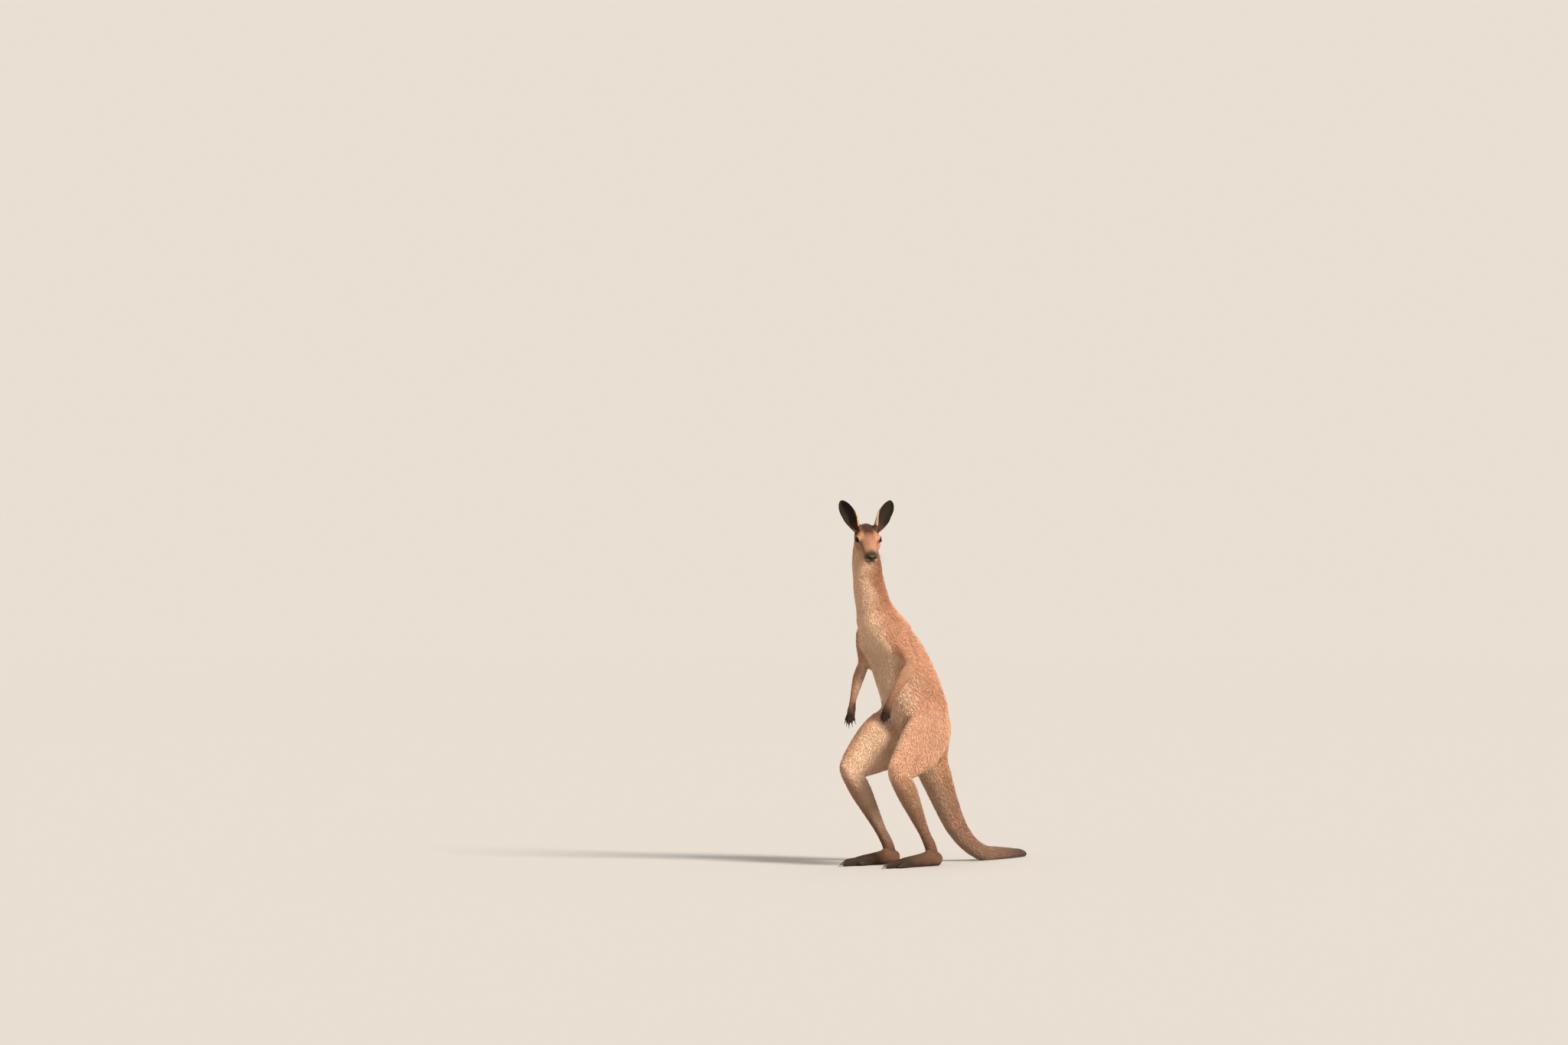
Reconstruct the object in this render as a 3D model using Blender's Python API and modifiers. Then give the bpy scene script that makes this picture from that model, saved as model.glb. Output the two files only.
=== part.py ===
"""A grey kangaroo standing alert on its hind feet, life size, as a still museum model.

Metres, +Z up. The body faces -Y, its left side is +X, and the head is turned to its left.
The animal is modelled whole, out to the tips of its coat: lofted tubes and ellipsoids are merged
by a voxel remesh, and the limbs, neck, head and tail are then parted by thin cuts.
"""

import math

import bmesh
import bpy
import numpy as np
from mathutils import Euler, Matrix, Vector

# Driving dimensions
GAP = 0.00035  # clearance between neighbouring solids
HEAD_LENGTH = 0.192  # back of the skull to the tip of the nose
HEAD_TURN = math.radians(48)  # to the animal's left, from the way the body faces
HEAD_DROP = math.radians(27)  # how far the nose points below the level
EAR_LENGTH = 0.118
EYE_RADIUS = 0.0145
TOE_CLAW = 0.042  # the long claw of the fourth toe
FINGER_CLAW = 0.021
TOE_CLAW_DROOP = 0.20  # how far a claw's point bends down, as a share of its length
FINGER_CLAW_DROOP = 0.30
FOOT_LEAD = 0.013  # the left hind foot stands this far ahead of the middle, the right behind
HAND_LIFT = 0.006  # the left hand is held this much higher than the middle, the right lower
LEG_SPREAD = 0.113  # from the middle plane to the middle of a hind foot
SOLE = 0.003  # what is cut off below the soles and the tail, to make their flats

# Voxel size, smoothing steps and triangle budget of each group that is merged into one skin
BODY_SKIN = (0.0060, 5, 1780)
HEAD_SKIN = (0.0030, 4, 960)
FOOT_SKIN = (0.0028, 3, 210)
HAND_SKIN = (0.0016, 3, 200)

FORWARD = Vector((0, -1, 0))
UP = Vector((0, 0, 1))
SIDES = {"left": 1, "right": -1}
FINGERS = ("first", "second", "third", "fourth", "fifth")


# ---------------------------------------------------------------- scene and materials


def new_collection(name):
    collection = bpy.data.collections.new(name)
    bpy.context.scene.collection.children.link(collection)
    return collection


def material(name, colour, roughness):
    made = bpy.data.materials.new(name)
    made.use_nodes = True
    shader = made.node_tree.nodes["Principled BSDF"]
    shader.inputs["Base Color"].default_value = (*colour, 1)
    shader.inputs["Roughness"].default_value = roughness
    shader.inputs["Metallic"].default_value = 0
    made.diffuse_color = (*colour, 1)
    return made


def put_in_workshop(obj):
    """Makes the object a helper, which is left out of the model."""
    for collection in list(obj.users_collection):
        collection.objects.unlink(obj)
    bpy.data.collections["workshop"].objects.link(obj)
    obj.hide_render = True
    obj.display_type = "WIRE"
    return obj


def finish(obj, name, finish_material):
    """Makes a helper a piece of the model, with its own name and material."""
    for collection in list(obj.users_collection):
        collection.objects.unlink(obj)
    bpy.data.collections["grey kangaroo"].objects.link(obj)
    obj.hide_render = False
    obj.display_type = "TEXTURED"
    namesake = bpy.data.objects.get(name)
    if namesake:
        namesake.name = "helper"
    obj.name = name
    obj.data.name = name
    obj.data.materials.clear()
    obj.data.materials.append(finish_material)
    obj.data.shade_smooth()
    obj.data.set_sharp_from_angle(angle=math.radians(50))
    return obj


# ---------------------------------------------------------------- lofts and primitives


def at(forward, height, left=0.0):
    """A point from how far forward it is, its height and how far to the animal's left."""
    return Vector((left, -forward, height))


def resample(knots, count):
    """A cubic curve through the rows of knots, read at count even steps along it."""
    knots = np.asarray(knots, float)
    steps = np.linalg.norm(np.diff(knots[:, :3], axis=0), axis=1)
    travel = np.concatenate([[0.0], np.cumsum(steps)])
    slopes = np.gradient(knots, travel, axis=0)
    wanted = np.linspace(0, travel[-1], count)
    first = np.clip(np.searchsorted(travel, wanted, side="right") - 1, 0, len(travel) - 2)
    span = (travel[first + 1] - travel[first])[:, None]
    u = (wanted - travel[first])[:, None] / span
    return (
        (2 * u**3 - 3 * u**2 + 1) * knots[first]
        + (u**3 - 2 * u**2 + u) * span * slopes[first]
        + (3 * u**2 - 2 * u**3) * knots[first + 1]
        + (u**3 - u**2) * span * slopes[first + 1]
    )


def tube(name, stations, upper=UP, grow=0.0, rings=22, sides=28, domes=(1.0, 1.0)):
    """A closed tube with elliptical sections through the stations, ending in two domes.

    A station is (left, forward, height, half width, half depth towards upper, half depth away
    from it). A dome is as long as its share of the radius at its end, and with no domes the ends
    are flat.
    """
    rows = resample(stations, rings)
    centre = np.stack([rows[:, 0], -rows[:, 1], rows[:, 2]], axis=1)
    half = rows[:, 3:6] + grow
    along = np.gradient(centre, axis=0)
    along /= np.linalg.norm(along, axis=1, keepdims=True)
    rise = np.array(upper) - (along @ np.array(upper))[:, None] * along
    rise /= np.linalg.norm(rise, axis=1, keepdims=True)
    side = np.cross(along, rise)

    # The dome rings repeat the end sections, shrinking along a quarter circle.
    if domes:
        bend = np.radians([28, 56, 78] if sides > 16 else [42, 72])
        order = [0] * len(bend) + list(range(rings)) + [rings - 1] * len(bend)
        shrink = np.concatenate([np.cos(bend)[::-1], np.ones(rings), np.cos(bend)])[:, None]
        back = -np.sin(bend)[::-1] * half[0].mean() * domes[0]
        front = np.sin(bend) * half[-1].mean() * domes[1]
        reach = np.concatenate([back, np.zeros(rings), front])[:, None]
        centre = centre[order] + along[order] * reach
        half, rise, side = half[order] * shrink, rise[order], side[order]

    turn = np.linspace(0, 2 * math.pi, sides, endpoint=False)
    depth = np.where(np.sin(turn) > 0, half[:, 1:2], half[:, 2:3]) * np.sin(turn)
    width = half[:, 0:1] * np.cos(turn)
    points = centre[:, None] + side[:, None] * width[:, :, None] + rise[:, None] * depth[:, :, None]

    work = bmesh.new()
    loops = [[work.verts.new(point) for point in ring] for ring in points]
    for ring, following in zip(loops, loops[1:]):
        for k in range(sides):
            work.faces.new((ring[k - 1], ring[k], following[k], following[k - 1]))
    work.faces.new(loops[0])
    work.faces.new(loops[-1])
    bmesh.ops.recalc_face_normals(work, faces=work.faces)
    bmesh.ops.triangulate(work, faces=work.faces)
    mesh = bpy.data.meshes.new(name)
    work.to_mesh(mesh)
    work.free()
    return put_in_workshop(bpy.data.objects.new(name, mesh))


def ellipsoid(name, centre, radii, turn=(0, 0, 0), segments=24):
    """A sphere scaled to three radii (across, along, up), turned and moved to its centre."""
    bpy.ops.mesh.primitive_uv_sphere_add(segments=segments, ring_count=segments // 2 + 2, radius=1)
    obj = bpy.context.object
    obj.name = name
    spin = Euler(turn).to_matrix().to_4x4()
    obj.data.transform(Matrix.Translation(centre) @ spin @ Matrix.Diagonal((*radii, 1)))
    return put_in_workshop(obj)


def block(point, normal, size):
    """A cube with one face's middle on the point, lying on the side that the normal points to."""
    bpy.ops.mesh.primitive_cube_add(size=size)
    obj = bpy.context.object
    obj.name = "block"
    direction = Vector(normal).normalized()
    spin = UP.rotation_difference(direction).to_matrix().to_4x4()
    obj.data.transform(Matrix.Translation(Vector(point) + direction * size / 2) @ spin)
    return put_in_workshop(obj)


# ---------------------------------------------------------------- merging and cutting


def apply_modifiers(obj):
    graph = bpy.context.evaluated_depsgraph_get()
    mesh = bpy.data.meshes.new_from_object(obj.evaluated_get(graph))
    obj.modifiers.clear()
    obj.data = mesh
    return obj


def duplicate(obj):
    return put_in_workshop(bpy.data.objects.new(obj.name, obj.data.copy()))


def merged(name, forms, skin):
    """The union of overlapping forms as one soft skin, thinned to its budget of triangles."""
    voxel, smoothing, triangles = skin
    work = bmesh.new()
    for form in forms:
        work.from_mesh(form.data)
        bpy.data.objects.remove(form)
    mesh = bpy.data.meshes.new(name)
    work.to_mesh(mesh)
    work.free()
    obj = put_in_workshop(bpy.data.objects.new(name, mesh))
    remesh = obj.modifiers.new("remesh", "REMESH")
    remesh.mode = "VOXEL"
    remesh.voxel_size = voxel
    smooth = obj.modifiers.new("smooth", "SMOOTH")
    smooth.factor = 0.5
    smooth.iterations = smoothing
    apply_modifiers(obj)
    obj.data.calc_loop_triangles()
    thin = obj.modifiers.new("thin", "DECIMATE")
    thin.ratio = triangles / len(obj.data.loop_triangles)
    return apply_modifiers(obj)


def grown(obj, distance=GAP):
    """A copy with every point moved out along its normal."""
    copy = duplicate(obj)
    count = len(copy.data.vertices)
    points, normals = np.zeros(count * 3, np.float32), np.zeros(count * 3, np.float32)
    copy.data.vertices.foreach_get("co", points)
    copy.data.vertex_normals.foreach_get("vector", normals)
    copy.data.vertices.foreach_set("co", points + normals * distance)
    return copy


def boolean(obj, cutter, operation):
    change = obj.modifiers.new(operation.lower(), "BOOLEAN")
    change.operation = operation
    change.solver = "EXACT"
    change.object = cutter
    return apply_modifiers(obj)


def bodies(obj, count):
    """The largest of the object's separate bodies. Any more are crumbs, and are removed."""
    bpy.ops.object.select_all(action="DESELECT")
    obj.select_set(True)
    bpy.context.view_layer.objects.active = obj
    bpy.ops.mesh.separate(type="LOOSE")
    found = sorted(bpy.context.selected_objects, key=lambda body: -len(body.data.vertices))
    for crumb in found[count:]:
        bpy.data.objects.remove(crumb)
    return found[:count]


def biggest(obj):
    return bodies(obj, 1)[0]


def part_by(whole, cutter):
    """Splits the whole into what lies inside the cutter and what lies outside it."""
    inside = biggest(boolean(duplicate(whole), cutter, "INTERSECT"))
    outside = boolean(whole, grown(cutter), "DIFFERENCE")
    return inside, outside


def part_at(whole, plane, size):
    """Splits the whole at a plane of limited size: the side the normal points to comes first."""
    point, normal = plane
    shift = normal.normalized() * GAP / 2
    beyond = biggest(boolean(duplicate(whole), block(point + shift, normal, size), "INTERSECT"))
    rest = boolean(whole, block(point - shift, normal, size), "DIFFERENCE")
    return beyond, rest


def seat(holder, held):
    """Sinks a pocket into the holder for a piece that is held in it."""
    return boolean(holder, grown(held), "DIFFERENCE")


# ---------------------------------------------------------------- trunk, neck and tail


def trunk_forms():
    """Pelvis, belly, ribs and shoulders leaning forward, with the neck rising from them."""
    back = [
        (0, -0.118, 0.385, 0.068, 0.062, 0.064),
        (0, -0.078, 0.465, 0.106, 0.110, 0.096),
        (0, -0.036, 0.570, 0.121, 0.130, 0.111),
        (0, 0.013, 0.670, 0.119, 0.128, 0.113),
        (0, 0.073, 0.765, 0.108, 0.116, 0.110),
        (0, 0.142, 0.850, 0.095, 0.100, 0.099),
        (0, 0.203, 0.925, 0.081, 0.086, 0.083),
    ]
    yield tube("back", back, upper=FORWARD, rings=30)
    yield neck()
    for side in SIDES.values():
        yield ellipsoid("shoulder", at(0.168, 0.862, side * 0.057), (0.037, 0.064, 0.088),
                        turn=(math.radians(-30), 0, 0))
        yield ellipsoid("haunch", at(-0.055, 0.492, side * 0.062), (0.055, 0.090, 0.100),
                        turn=(math.radians(-25), 0, 0))


def neck(last=6, **form):
    knots = [
        (0.000, 0.188, 0.900, 0.073, 0.082, 0.076),
        (0.001, 0.228, 0.978, 0.066, 0.072, 0.072),
        (0.004, 0.256, 1.050, 0.062, 0.064, 0.065),
        (0.010, 0.275, 1.120, 0.057, 0.057, 0.058),
        (0.014, 0.289, 1.185, 0.047, 0.048, 0.048),
        (0.016, 0.293, 1.228, 0.038, 0.038, 0.036),
    ]
    return tube("neck", knots[:last], upper=FORWARD, **form)


def tail():
    """The heavy tail, from the rump down to the floor and along it, its end swung to the right."""
    knots = [
        (0.000, -0.075, 0.430, 0.070, 0.068, 0.070),
        (0.000, -0.141, 0.338, 0.063, 0.062, 0.070),
        (-0.002, -0.201, 0.238, 0.052, 0.051, 0.058),
        (-0.005, -0.268, 0.142, 0.044, 0.043, 0.047),
        (-0.010, -0.351, 0.071, 0.037, 0.036, 0.038),
        (-0.018, -0.445, 0.033, 0.032, 0.031, 0.033 + SOLE),
        (-0.032, -0.560, 0.0245, 0.026, 0.026, 0.0245 + SOLE),
        (-0.054, -0.670, 0.0195, 0.021, 0.021, 0.0195 + SOLE),
        (-0.080, -0.755, 0.0155, 0.0165, 0.0165, 0.0155 + SOLE),
        (-0.096, -0.800, 0.0110, 0.0110, 0.0110, 0.0110 + SOLE),
    ]
    return tube("tail", knots, rings=44, domes=(1, 1.3))


# Where the trunk ends and the neck, the tail and the lengths of the tail begin
NECK_BASE = at(0.214, 0.962), Vector((0, -0.50, 1))
TAIL_ROOT = at(-0.123, 0.366), Vector((0, 0.52, -0.85))
TAIL_MIDDLE = at(-0.290, 0.120, -0.006), Vector((0, 0.74, -0.67))
TAIL_END = at(-0.545, 0.025, -0.030), Vector((-0.15, 0.98, -0.05))


# ---------------------------------------------------------------- hind limbs


def lead(side):
    return FOOT_LEAD * side


def thigh(side, **form):
    knots = [
        (side * 0.077, -0.034, 0.508, 0.056, 0.110, 0.128),
        (side * 0.097, 0.060 + 0.3 * lead(side), 0.466, 0.060, 0.108, 0.126),
        (side * 0.116, 0.156 + 0.7 * lead(side), 0.407, 0.052, 0.080, 0.090),
        (side * 0.126, 0.228 + lead(side), 0.362, 0.038, 0.051, 0.051),
    ]
    return tube("thigh", knots, domes=(0.9, 0.9), **form)


def shin(side, first=0, **form):
    knots = [
        (side * 0.125, 0.222 + lead(side), 0.352, 0.038, 0.042, 0.048),
        (side * 0.122, 0.168 + lead(side), 0.276, 0.039, 0.036, 0.052),
        (side * 0.118, 0.104 + lead(side), 0.192, 0.029, 0.027, 0.038),
        (side * 0.115, 0.050 + lead(side), 0.120, 0.0205, 0.021, 0.027),
        (side * LEG_SPREAD, 0.012 + lead(side), 0.068, 0.0205, 0.024, 0.026),
        (side * LEG_SPREAD, 0.000 + lead(side), 0.045, 0.0200, 0.024, 0.024),
    ]
    return tube("shin", knots[first:], upper=FORWARD, **form)


def ankle(side):
    return at(0.02, 0.076, side * LEG_SPREAD), -UP


def low_tube(name, side, stations, **form):
    """A tube along the floor. Its stations are measured out and forward from the foot's middle,
    as (out, forward, height, half width, half depth above), and it reaches below the floor."""
    knots = [
        (side * (LEG_SPREAD + out), ahead + lead(side), height, wide, above, height + SOLE)
        for out, ahead, height, wide, above in stations
    ]
    return tube(name, knots, **form)


def foot_forms(side):
    """Heel and instep, the long fourth toe, the outer toe and the pair of small inner toes."""
    instep = [
        (0.000, -0.030, 0.026, 0.0170, 0.0240),
        (0.000, 0.004, 0.036, 0.0215, 0.0280),
        (0.000, 0.050, 0.031, 0.0195, 0.0230),
        (0.000, 0.110, 0.026, 0.0200, 0.0195),
        (0.001, 0.165, 0.022, 0.0235, 0.0165),
        (0.001, 0.195, 0.019, 0.0200, 0.0140),
    ]
    fourth = [
        (0.001, 0.180, 0.0200, 0.0150, 0.0145),
        (0.001, 0.220, 0.0185, 0.0125, 0.0130),
        (0.001, 0.248, 0.0165, 0.0125, 0.0125),
        (0.001, 0.262, 0.0150, 0.0105, 0.0105),
    ]
    fifth = [
        (0.014, 0.155, 0.0170, 0.0095, 0.0110),
        (0.023, 0.195, 0.0140, 0.0082, 0.0095),
        (0.026, 0.214, 0.0125, 0.0078, 0.0085),
    ]
    small = [
        (-0.013, 0.140, 0.0150, 0.0080, 0.0100),
        (-0.019, 0.180, 0.0130, 0.0072, 0.0090),
        (-0.020, 0.196, 0.0120, 0.0070, 0.0080),
    ]
    yield low_tube("instep", side, instep)
    yield low_tube("fourth_toe", side, fourth, rings=10, domes=(1, 0.7))
    yield low_tube("fifth_toe", side, fifth, rings=8, domes=(1, 0.8))
    yield low_tube("small_toes", side, small, rings=8, domes=(1, 0.8))
    yield shin(side, first=2)


def toe_claws(side):
    """Each claw's toe, base, length and thickness."""
    for toe, out, ahead, height, share, thickness in (
        ("fourth", 0.0010, 0.256, 0.0140, 1.00, 0.0074),
        ("fifth", 0.0262, 0.209, 0.0115, 0.62, 0.0046),
        ("third", -0.0165, 0.191, 0.0125, 0.40, 0.0028),
        ("second", -0.0238, 0.190, 0.0125, 0.38, 0.0028),
    ):
        base = at(ahead + lead(side), height, side * (LEG_SPREAD + out))
        yield toe, base, TOE_CLAW * share, thickness


def claw(name, base, direction, length, thickness, droop):
    """A curved claw, whose point bends down by a share of its length."""
    direction = direction.normalized()
    down = (direction * UP.dot(direction) - UP).normalized()
    if abs(direction.z) > 0.7:  # on a hanging hand the claws curl back instead
        down = (direction * FORWARD.dot(direction) - FORWARD).normalized()
    knots = []
    for share, taper in ((0.0, 1.0), (0.35, 0.80), (0.70, 0.46), (0.95, 0.16)):
        point = base + direction * length * share + down * droop * length * share**2
        radius = thickness * taper
        knots.append((point.x, -point.y, point.z, 0.85 * radius, radius, radius))
    return tube(name, knots, upper=-down, rings=4, sides=5, domes=None)


# ---------------------------------------------------------------- forelimbs


def lift(side):
    return HAND_LIFT * side


def upper_arm(side, **form):
    knots = [
        (side * 0.070, 0.196, 0.872, 0.030, 0.036, 0.038),
        (side * 0.093, 0.170, 0.824, 0.029, 0.034, 0.036),
        (side * 0.109, 0.148, 0.776, 0.024, 0.027, 0.028),
        (side * 0.114, 0.144, 0.752, 0.022, 0.024, 0.025),
    ]
    return tube("upper_arm", knots, upper=FORWARD, **form)


def forearm(side, first=0, **form):
    knots = [
        (side * 0.114, 0.140, 0.752, 0.023, 0.024, 0.025),
        (side * 0.111, 0.172, 0.712 + 0.4 * lift(side), 0.0235, 0.0225, 0.0245),
        (side * 0.101, 0.206, 0.664 + 0.8 * lift(side), 0.0175, 0.0175, 0.0185),
        (side * 0.092, 0.232, 0.622 + lift(side), 0.0140, 0.0125, 0.0130),
        (side * 0.089, 0.240, 0.604 + lift(side), 0.0150, 0.0115, 0.0120),
    ]
    return tube("forearm", knots[first:], upper=FORWARD, **form)


def wrist(side):
    point = at(0.235, 0.615 + lift(side), side * 0.0905)
    return point, Vector((-side * 0.10, -0.34, -0.93))


def fingers(side):
    """Each finger's name, root and tip, from the inner finger to the outer one."""
    for number, name in enumerate(FINGERS):
        fan = (number - 2) / 2
        root = at(0.2545 - 0.004 * abs(fan), 0.571 + lift(side) + 0.004 * abs(fan),
                  side * (0.0848 + 0.0125 * fan))
        along = Vector((side * 0.34 * fan, -0.26, -0.95)).normalized()
        yield name, root, root + along * (0.034 - 0.009 * abs(fan) ** 1.5)


def hand_forms(side):
    palm = [
        (side * 0.0890, 0.2385, 0.608 + lift(side), 0.0145, 0.0115, 0.0120),
        (side * 0.0865, 0.2470, 0.588 + lift(side), 0.0185, 0.0115, 0.0125),
        (side * 0.0850, 0.2530, 0.572 + lift(side), 0.0185, 0.0095, 0.0105),
    ]
    yield tube("palm", palm, upper=FORWARD, rings=10)
    for name, root, tip in fingers(side):
        middle = root.lerp(tip, 0.5) + FORWARD * 0.0018
        knots = [
            (point.x, -point.y, point.z, thick, thick, thick)
            for point, thick in ((root, 0.0062), (middle, 0.0056), (tip, 0.0050))
        ]
        yield tube(name + "_finger", knots, upper=FORWARD, rings=7, sides=16)
    yield forearm(side, first=2)


# ---------------------------------------------------------------- head

HEAD_PLACE = (
    Matrix.Translation(at(0.293, 1.244, 0.018))
    @ Matrix.Rotation(HEAD_TURN, 4, "Z")
    @ Matrix.Rotation(HEAD_DROP, 4, "X")
)


def in_head(obj):
    """Moves a piece that was made round the skull's base, facing forward, to the head's place."""
    obj.data.transform(HEAD_PLACE)
    return obj


def head_forms():
    """Skull and muzzle as one tube, with cheeks, brows, lips, nostrils and chin laid on it, and
    a low ridge from between the brows down to the nose."""
    length = HEAD_LENGTH
    profile = [
        (0, 0.01 * length, 0.000, 0.0390, 0.0380, 0.0400),
        (0, 0.14 * length, 0.001, 0.0455, 0.0420, 0.0450),
        (0, 0.28 * length, 0.001, 0.0480, 0.0440, 0.0480),
        (0, 0.42 * length, 0.000, 0.0425, 0.0415, 0.0465),
        (0, 0.55 * length, -0.003, 0.0340, 0.0355, 0.0410),
        (0, 0.68 * length, -0.006, 0.0280, 0.0295, 0.0345),
        (0, 0.81 * length, -0.009, 0.0250, 0.0255, 0.0305),
        (0, 0.91 * length, -0.010, 0.0230, 0.0225, 0.0270),
    ]
    bridge = [
        (0, 0.36 * length, 0.0220, 0.0200, 0.0200, 0.0200),
        (0, 0.50 * length, 0.0180, 0.0165, 0.0180, 0.0180),
        (0, 0.64 * length, 0.0120, 0.0145, 0.0165, 0.0165),
        (0, 0.78 * length, 0.0050, 0.0135, 0.0150, 0.0150),
        (0, 0.90 * length, -0.0010, 0.0130, 0.0145, 0.0145),
    ]
    yield tube("skull", profile, rings=26, domes=(0.8, 0.66))
    yield tube("bridge", bridge, rings=18)
    for side in SIDES.values():
        yield ellipsoid("cheek", at(0.35 * length, -0.013, side * 0.0275), (0.0205, 0.042, 0.0275))
        yield ellipsoid("brow", at(0.40 * length, 0.0255, side * 0.0275), (0.0135, 0.023, 0.0130))
        yield ellipsoid("lip", at(0.86 * length, -0.021, side * 0.0115), (0.0125, 0.023, 0.0140))
        yield ellipsoid("nostril", at(0.945 * length, -0.001, side * 0.0090), (0.0100, 0.012, 0.0100))
        yield ellipsoid("ear_root", at(0.12 * length, 0.029, side * 0.0335), (0.0165, 0.019, 0.0150))
        yield ellipsoid("temple", at(0.13 * length, 0.014, side * 0.0300), (0.0165, 0.024, 0.0210))
    yield ellipsoid("chin", at(0.84 * length, -0.033, 0), (0.0140, 0.027, 0.0095))
    yield ellipsoid("muzzle_end", at(0.925 * length, -0.0115, 0), (0.0175, 0.0165, 0.0165))


def nose_pad():
    """The bare front of the muzzle between and above the nostrils."""
    centre = at(0.975 * HEAD_LENGTH, -0.003, 0)
    return in_head(ellipsoid("nose_pad", centre, (0.0160, 0.0160, 0.0122), segments=12))


def eye(side):
    centre = at(0.430 * HEAD_LENGTH, 0.0150, side * 0.0335)
    return in_head(ellipsoid("eye", centre, (EYE_RADIUS,) * 3, segments=12))


def ear(side):
    """A cupped ear: a leaf whose cross sections are arcs, nearly closed at the root."""
    rows, columns = 8, 7
    stem = Vector((side * 0.50, 0.54, 0.70)).normalized()
    mouth = Vector((side * 0.30, -0.80, 0.50))
    mouth = (mouth - stem * mouth.dot(stem)).normalized()
    breadth = stem.cross(mouth)
    root = at(0.12 * HEAD_LENGTH, 0.030, side * 0.0355)
    grid = []
    for share in 1 - (1 - np.linspace(0, 1, rows)) ** 1.5:  # closer together towards the tip
        bulge = math.sin(math.pi * min(1, 0.06 + 0.84 * share)) ** 0.8
        radius = 0.010 + 0.0160 * bulge
        radius *= math.sqrt(max(0.0, 1 - max(0.0, (share - 0.45) / 0.555) ** 4))
        half_turn = math.radians(148 - 68 * min(1, 2.0 * share))
        spine = root + stem * EAR_LENGTH * share - mouth * 0.009 * math.sin(math.pi * share)
        for swing in np.linspace(-half_turn, half_turn, columns):
            arc = breadth * math.sin(swing) + mouth * (1 - math.cos(swing))
            grid.append(spine + radius * arc)
    faces = [
        (i * columns + j, i * columns + j + 1, (i + 1) * columns + j + 1, (i + 1) * columns + j)
        for i in range(rows - 1)
        for j in range(columns - 1)
    ]
    mesh = bpy.data.meshes.new("ear")
    mesh.from_pydata(grid, [], faces)
    leaf = in_head(put_in_workshop(bpy.data.objects.new("ear", mesh)))
    wall = leaf.modifiers.new("wall", "SOLIDIFY")
    wall.thickness = 0.0036
    wall.offset = 0
    return apply_modifiers(leaf)


# ---------------------------------------------------------------- assembly


def build_body(coat):
    """Trunk, tail and limbs as one skin, which is then parted."""
    forms = [*trunk_forms(), tail()]
    for side in SIDES.values():
        forms += [thigh(side), shin(side), upper_arm(side), forearm(side)]
    whole = merged("body", forms, BODY_SKIN)
    whole = part_at(whole, (at(-0.55, 0), -UP), 1.2)[1]
    for name, side in SIDES.items():
        for limb, growth in ((upper_arm, 0.007), (forearm, 0.012), (thigh, 0.008)):
            piece, whole = part_by(whole, limb(side, grow=growth, rings=5, sides=9))
            if limb is forearm:
                piece = part_at(piece, wrist(side), 0.3)[1]
            finish(piece, f"{limb.__name__}_{name}", coat)

    # With the thighs off, the shins stand free of the rest.
    whole, *shins = bodies(whole, 3)
    for piece in shins:
        name = "left" if piece.data.vertices[0].co.x > 0 else "right"
        finish(part_at(piece, ankle(SIDES[name]), 0.3)[1], f"shin_{name}", coat)
    whole = part_at(whole, NECK_BASE, 0.6)[1]
    for name, plane in (("end", TAIL_END), ("middle", TAIL_MIDDLE), ("base", TAIL_ROOT)):
        piece, whole = part_at(whole, plane, 0.7)
        finish(piece, f"tail_{name}", coat)
    finish(biggest(whole), "trunk", coat)


def build_head(coat, dark_coat, gloss, leather):
    """Head and neck as one skin. The neck's top is a dome inside the back of the head."""
    forms = [in_head(form) for form in head_forms()]
    whole = merged("head", [*forms, neck()], HEAD_SKIN)
    whole = part_at(whole, NECK_BASE, 0.6)[0]
    neck_cutter = neck(last=5, grow=0.006, rings=4, sides=10, domes=(0.5, 0.4))
    piece, head = part_by(whole, neck_cutter)
    finish(piece, "neck", coat)
    pad, head = part_by(head, nose_pad())
    finish(pad, "nose", leather)
    for name, side in SIDES.items():
        ball = eye(side)
        head = seat(head, ball)
        finish(ball, f"eye_{name}", gloss)
        shell = ear(side)
        shell = biggest(boolean(shell, grown(head), "DIFFERENCE"))
        finish(shell, f"ear_{name}", dark_coat)
    finish(biggest(head), "head", coat)


def build_foot(name, side, dark_coat, horn):
    whole = merged("foot", list(foot_forms(side)), FOOT_SKIN)
    foot = part_at(whole, ankle(side), 0.5)[0]
    foot = part_at(foot, (at(0.1, 0, side * LEG_SPREAD), -UP), 0.6)[1]
    for toe, base, length, thickness in toe_claws(side):
        nail = claw(toe, base, FORWARD, length, thickness, TOE_CLAW_DROOP)
        foot = seat(foot, nail)
        finish(nail, f"{toe}_toe_claw_{name}", horn)
    finish(biggest(foot), f"foot_{name}", dark_coat)


def build_hand(name, side, dark_coat, horn):
    whole = merged("hand", list(hand_forms(side)), HAND_SKIN)
    hand = part_at(whole, wrist(side), 0.3)[0]
    for finger, root, tip in fingers(side):
        along = (tip - root).normalized()
        nail = claw(finger, tip - along * 0.003, along, FINGER_CLAW, 0.0028, FINGER_CLAW_DROOP)
        hand = seat(hand, nail)
        finish(nail, f"{finger}_finger_claw_{name}", horn)
    finish(biggest(hand), f"hand_{name}", dark_coat)


def centre_on_floor():
    """Moves the whole animal so that the origin is under the middle of its bounding box."""
    pieces = bpy.data.collections["grey kangaroo"].objects
    points = np.concatenate(
        [[vertex.co for vertex in piece.data.vertices] for piece in pieces]
    )
    low, high = points.min(axis=0), points.max(axis=0)
    move = Matrix.Translation((-(low[0] + high[0]) / 2, -(low[1] + high[1]) / 2, -low[2]))
    for piece in pieces:
        piece.data.transform(move)


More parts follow.
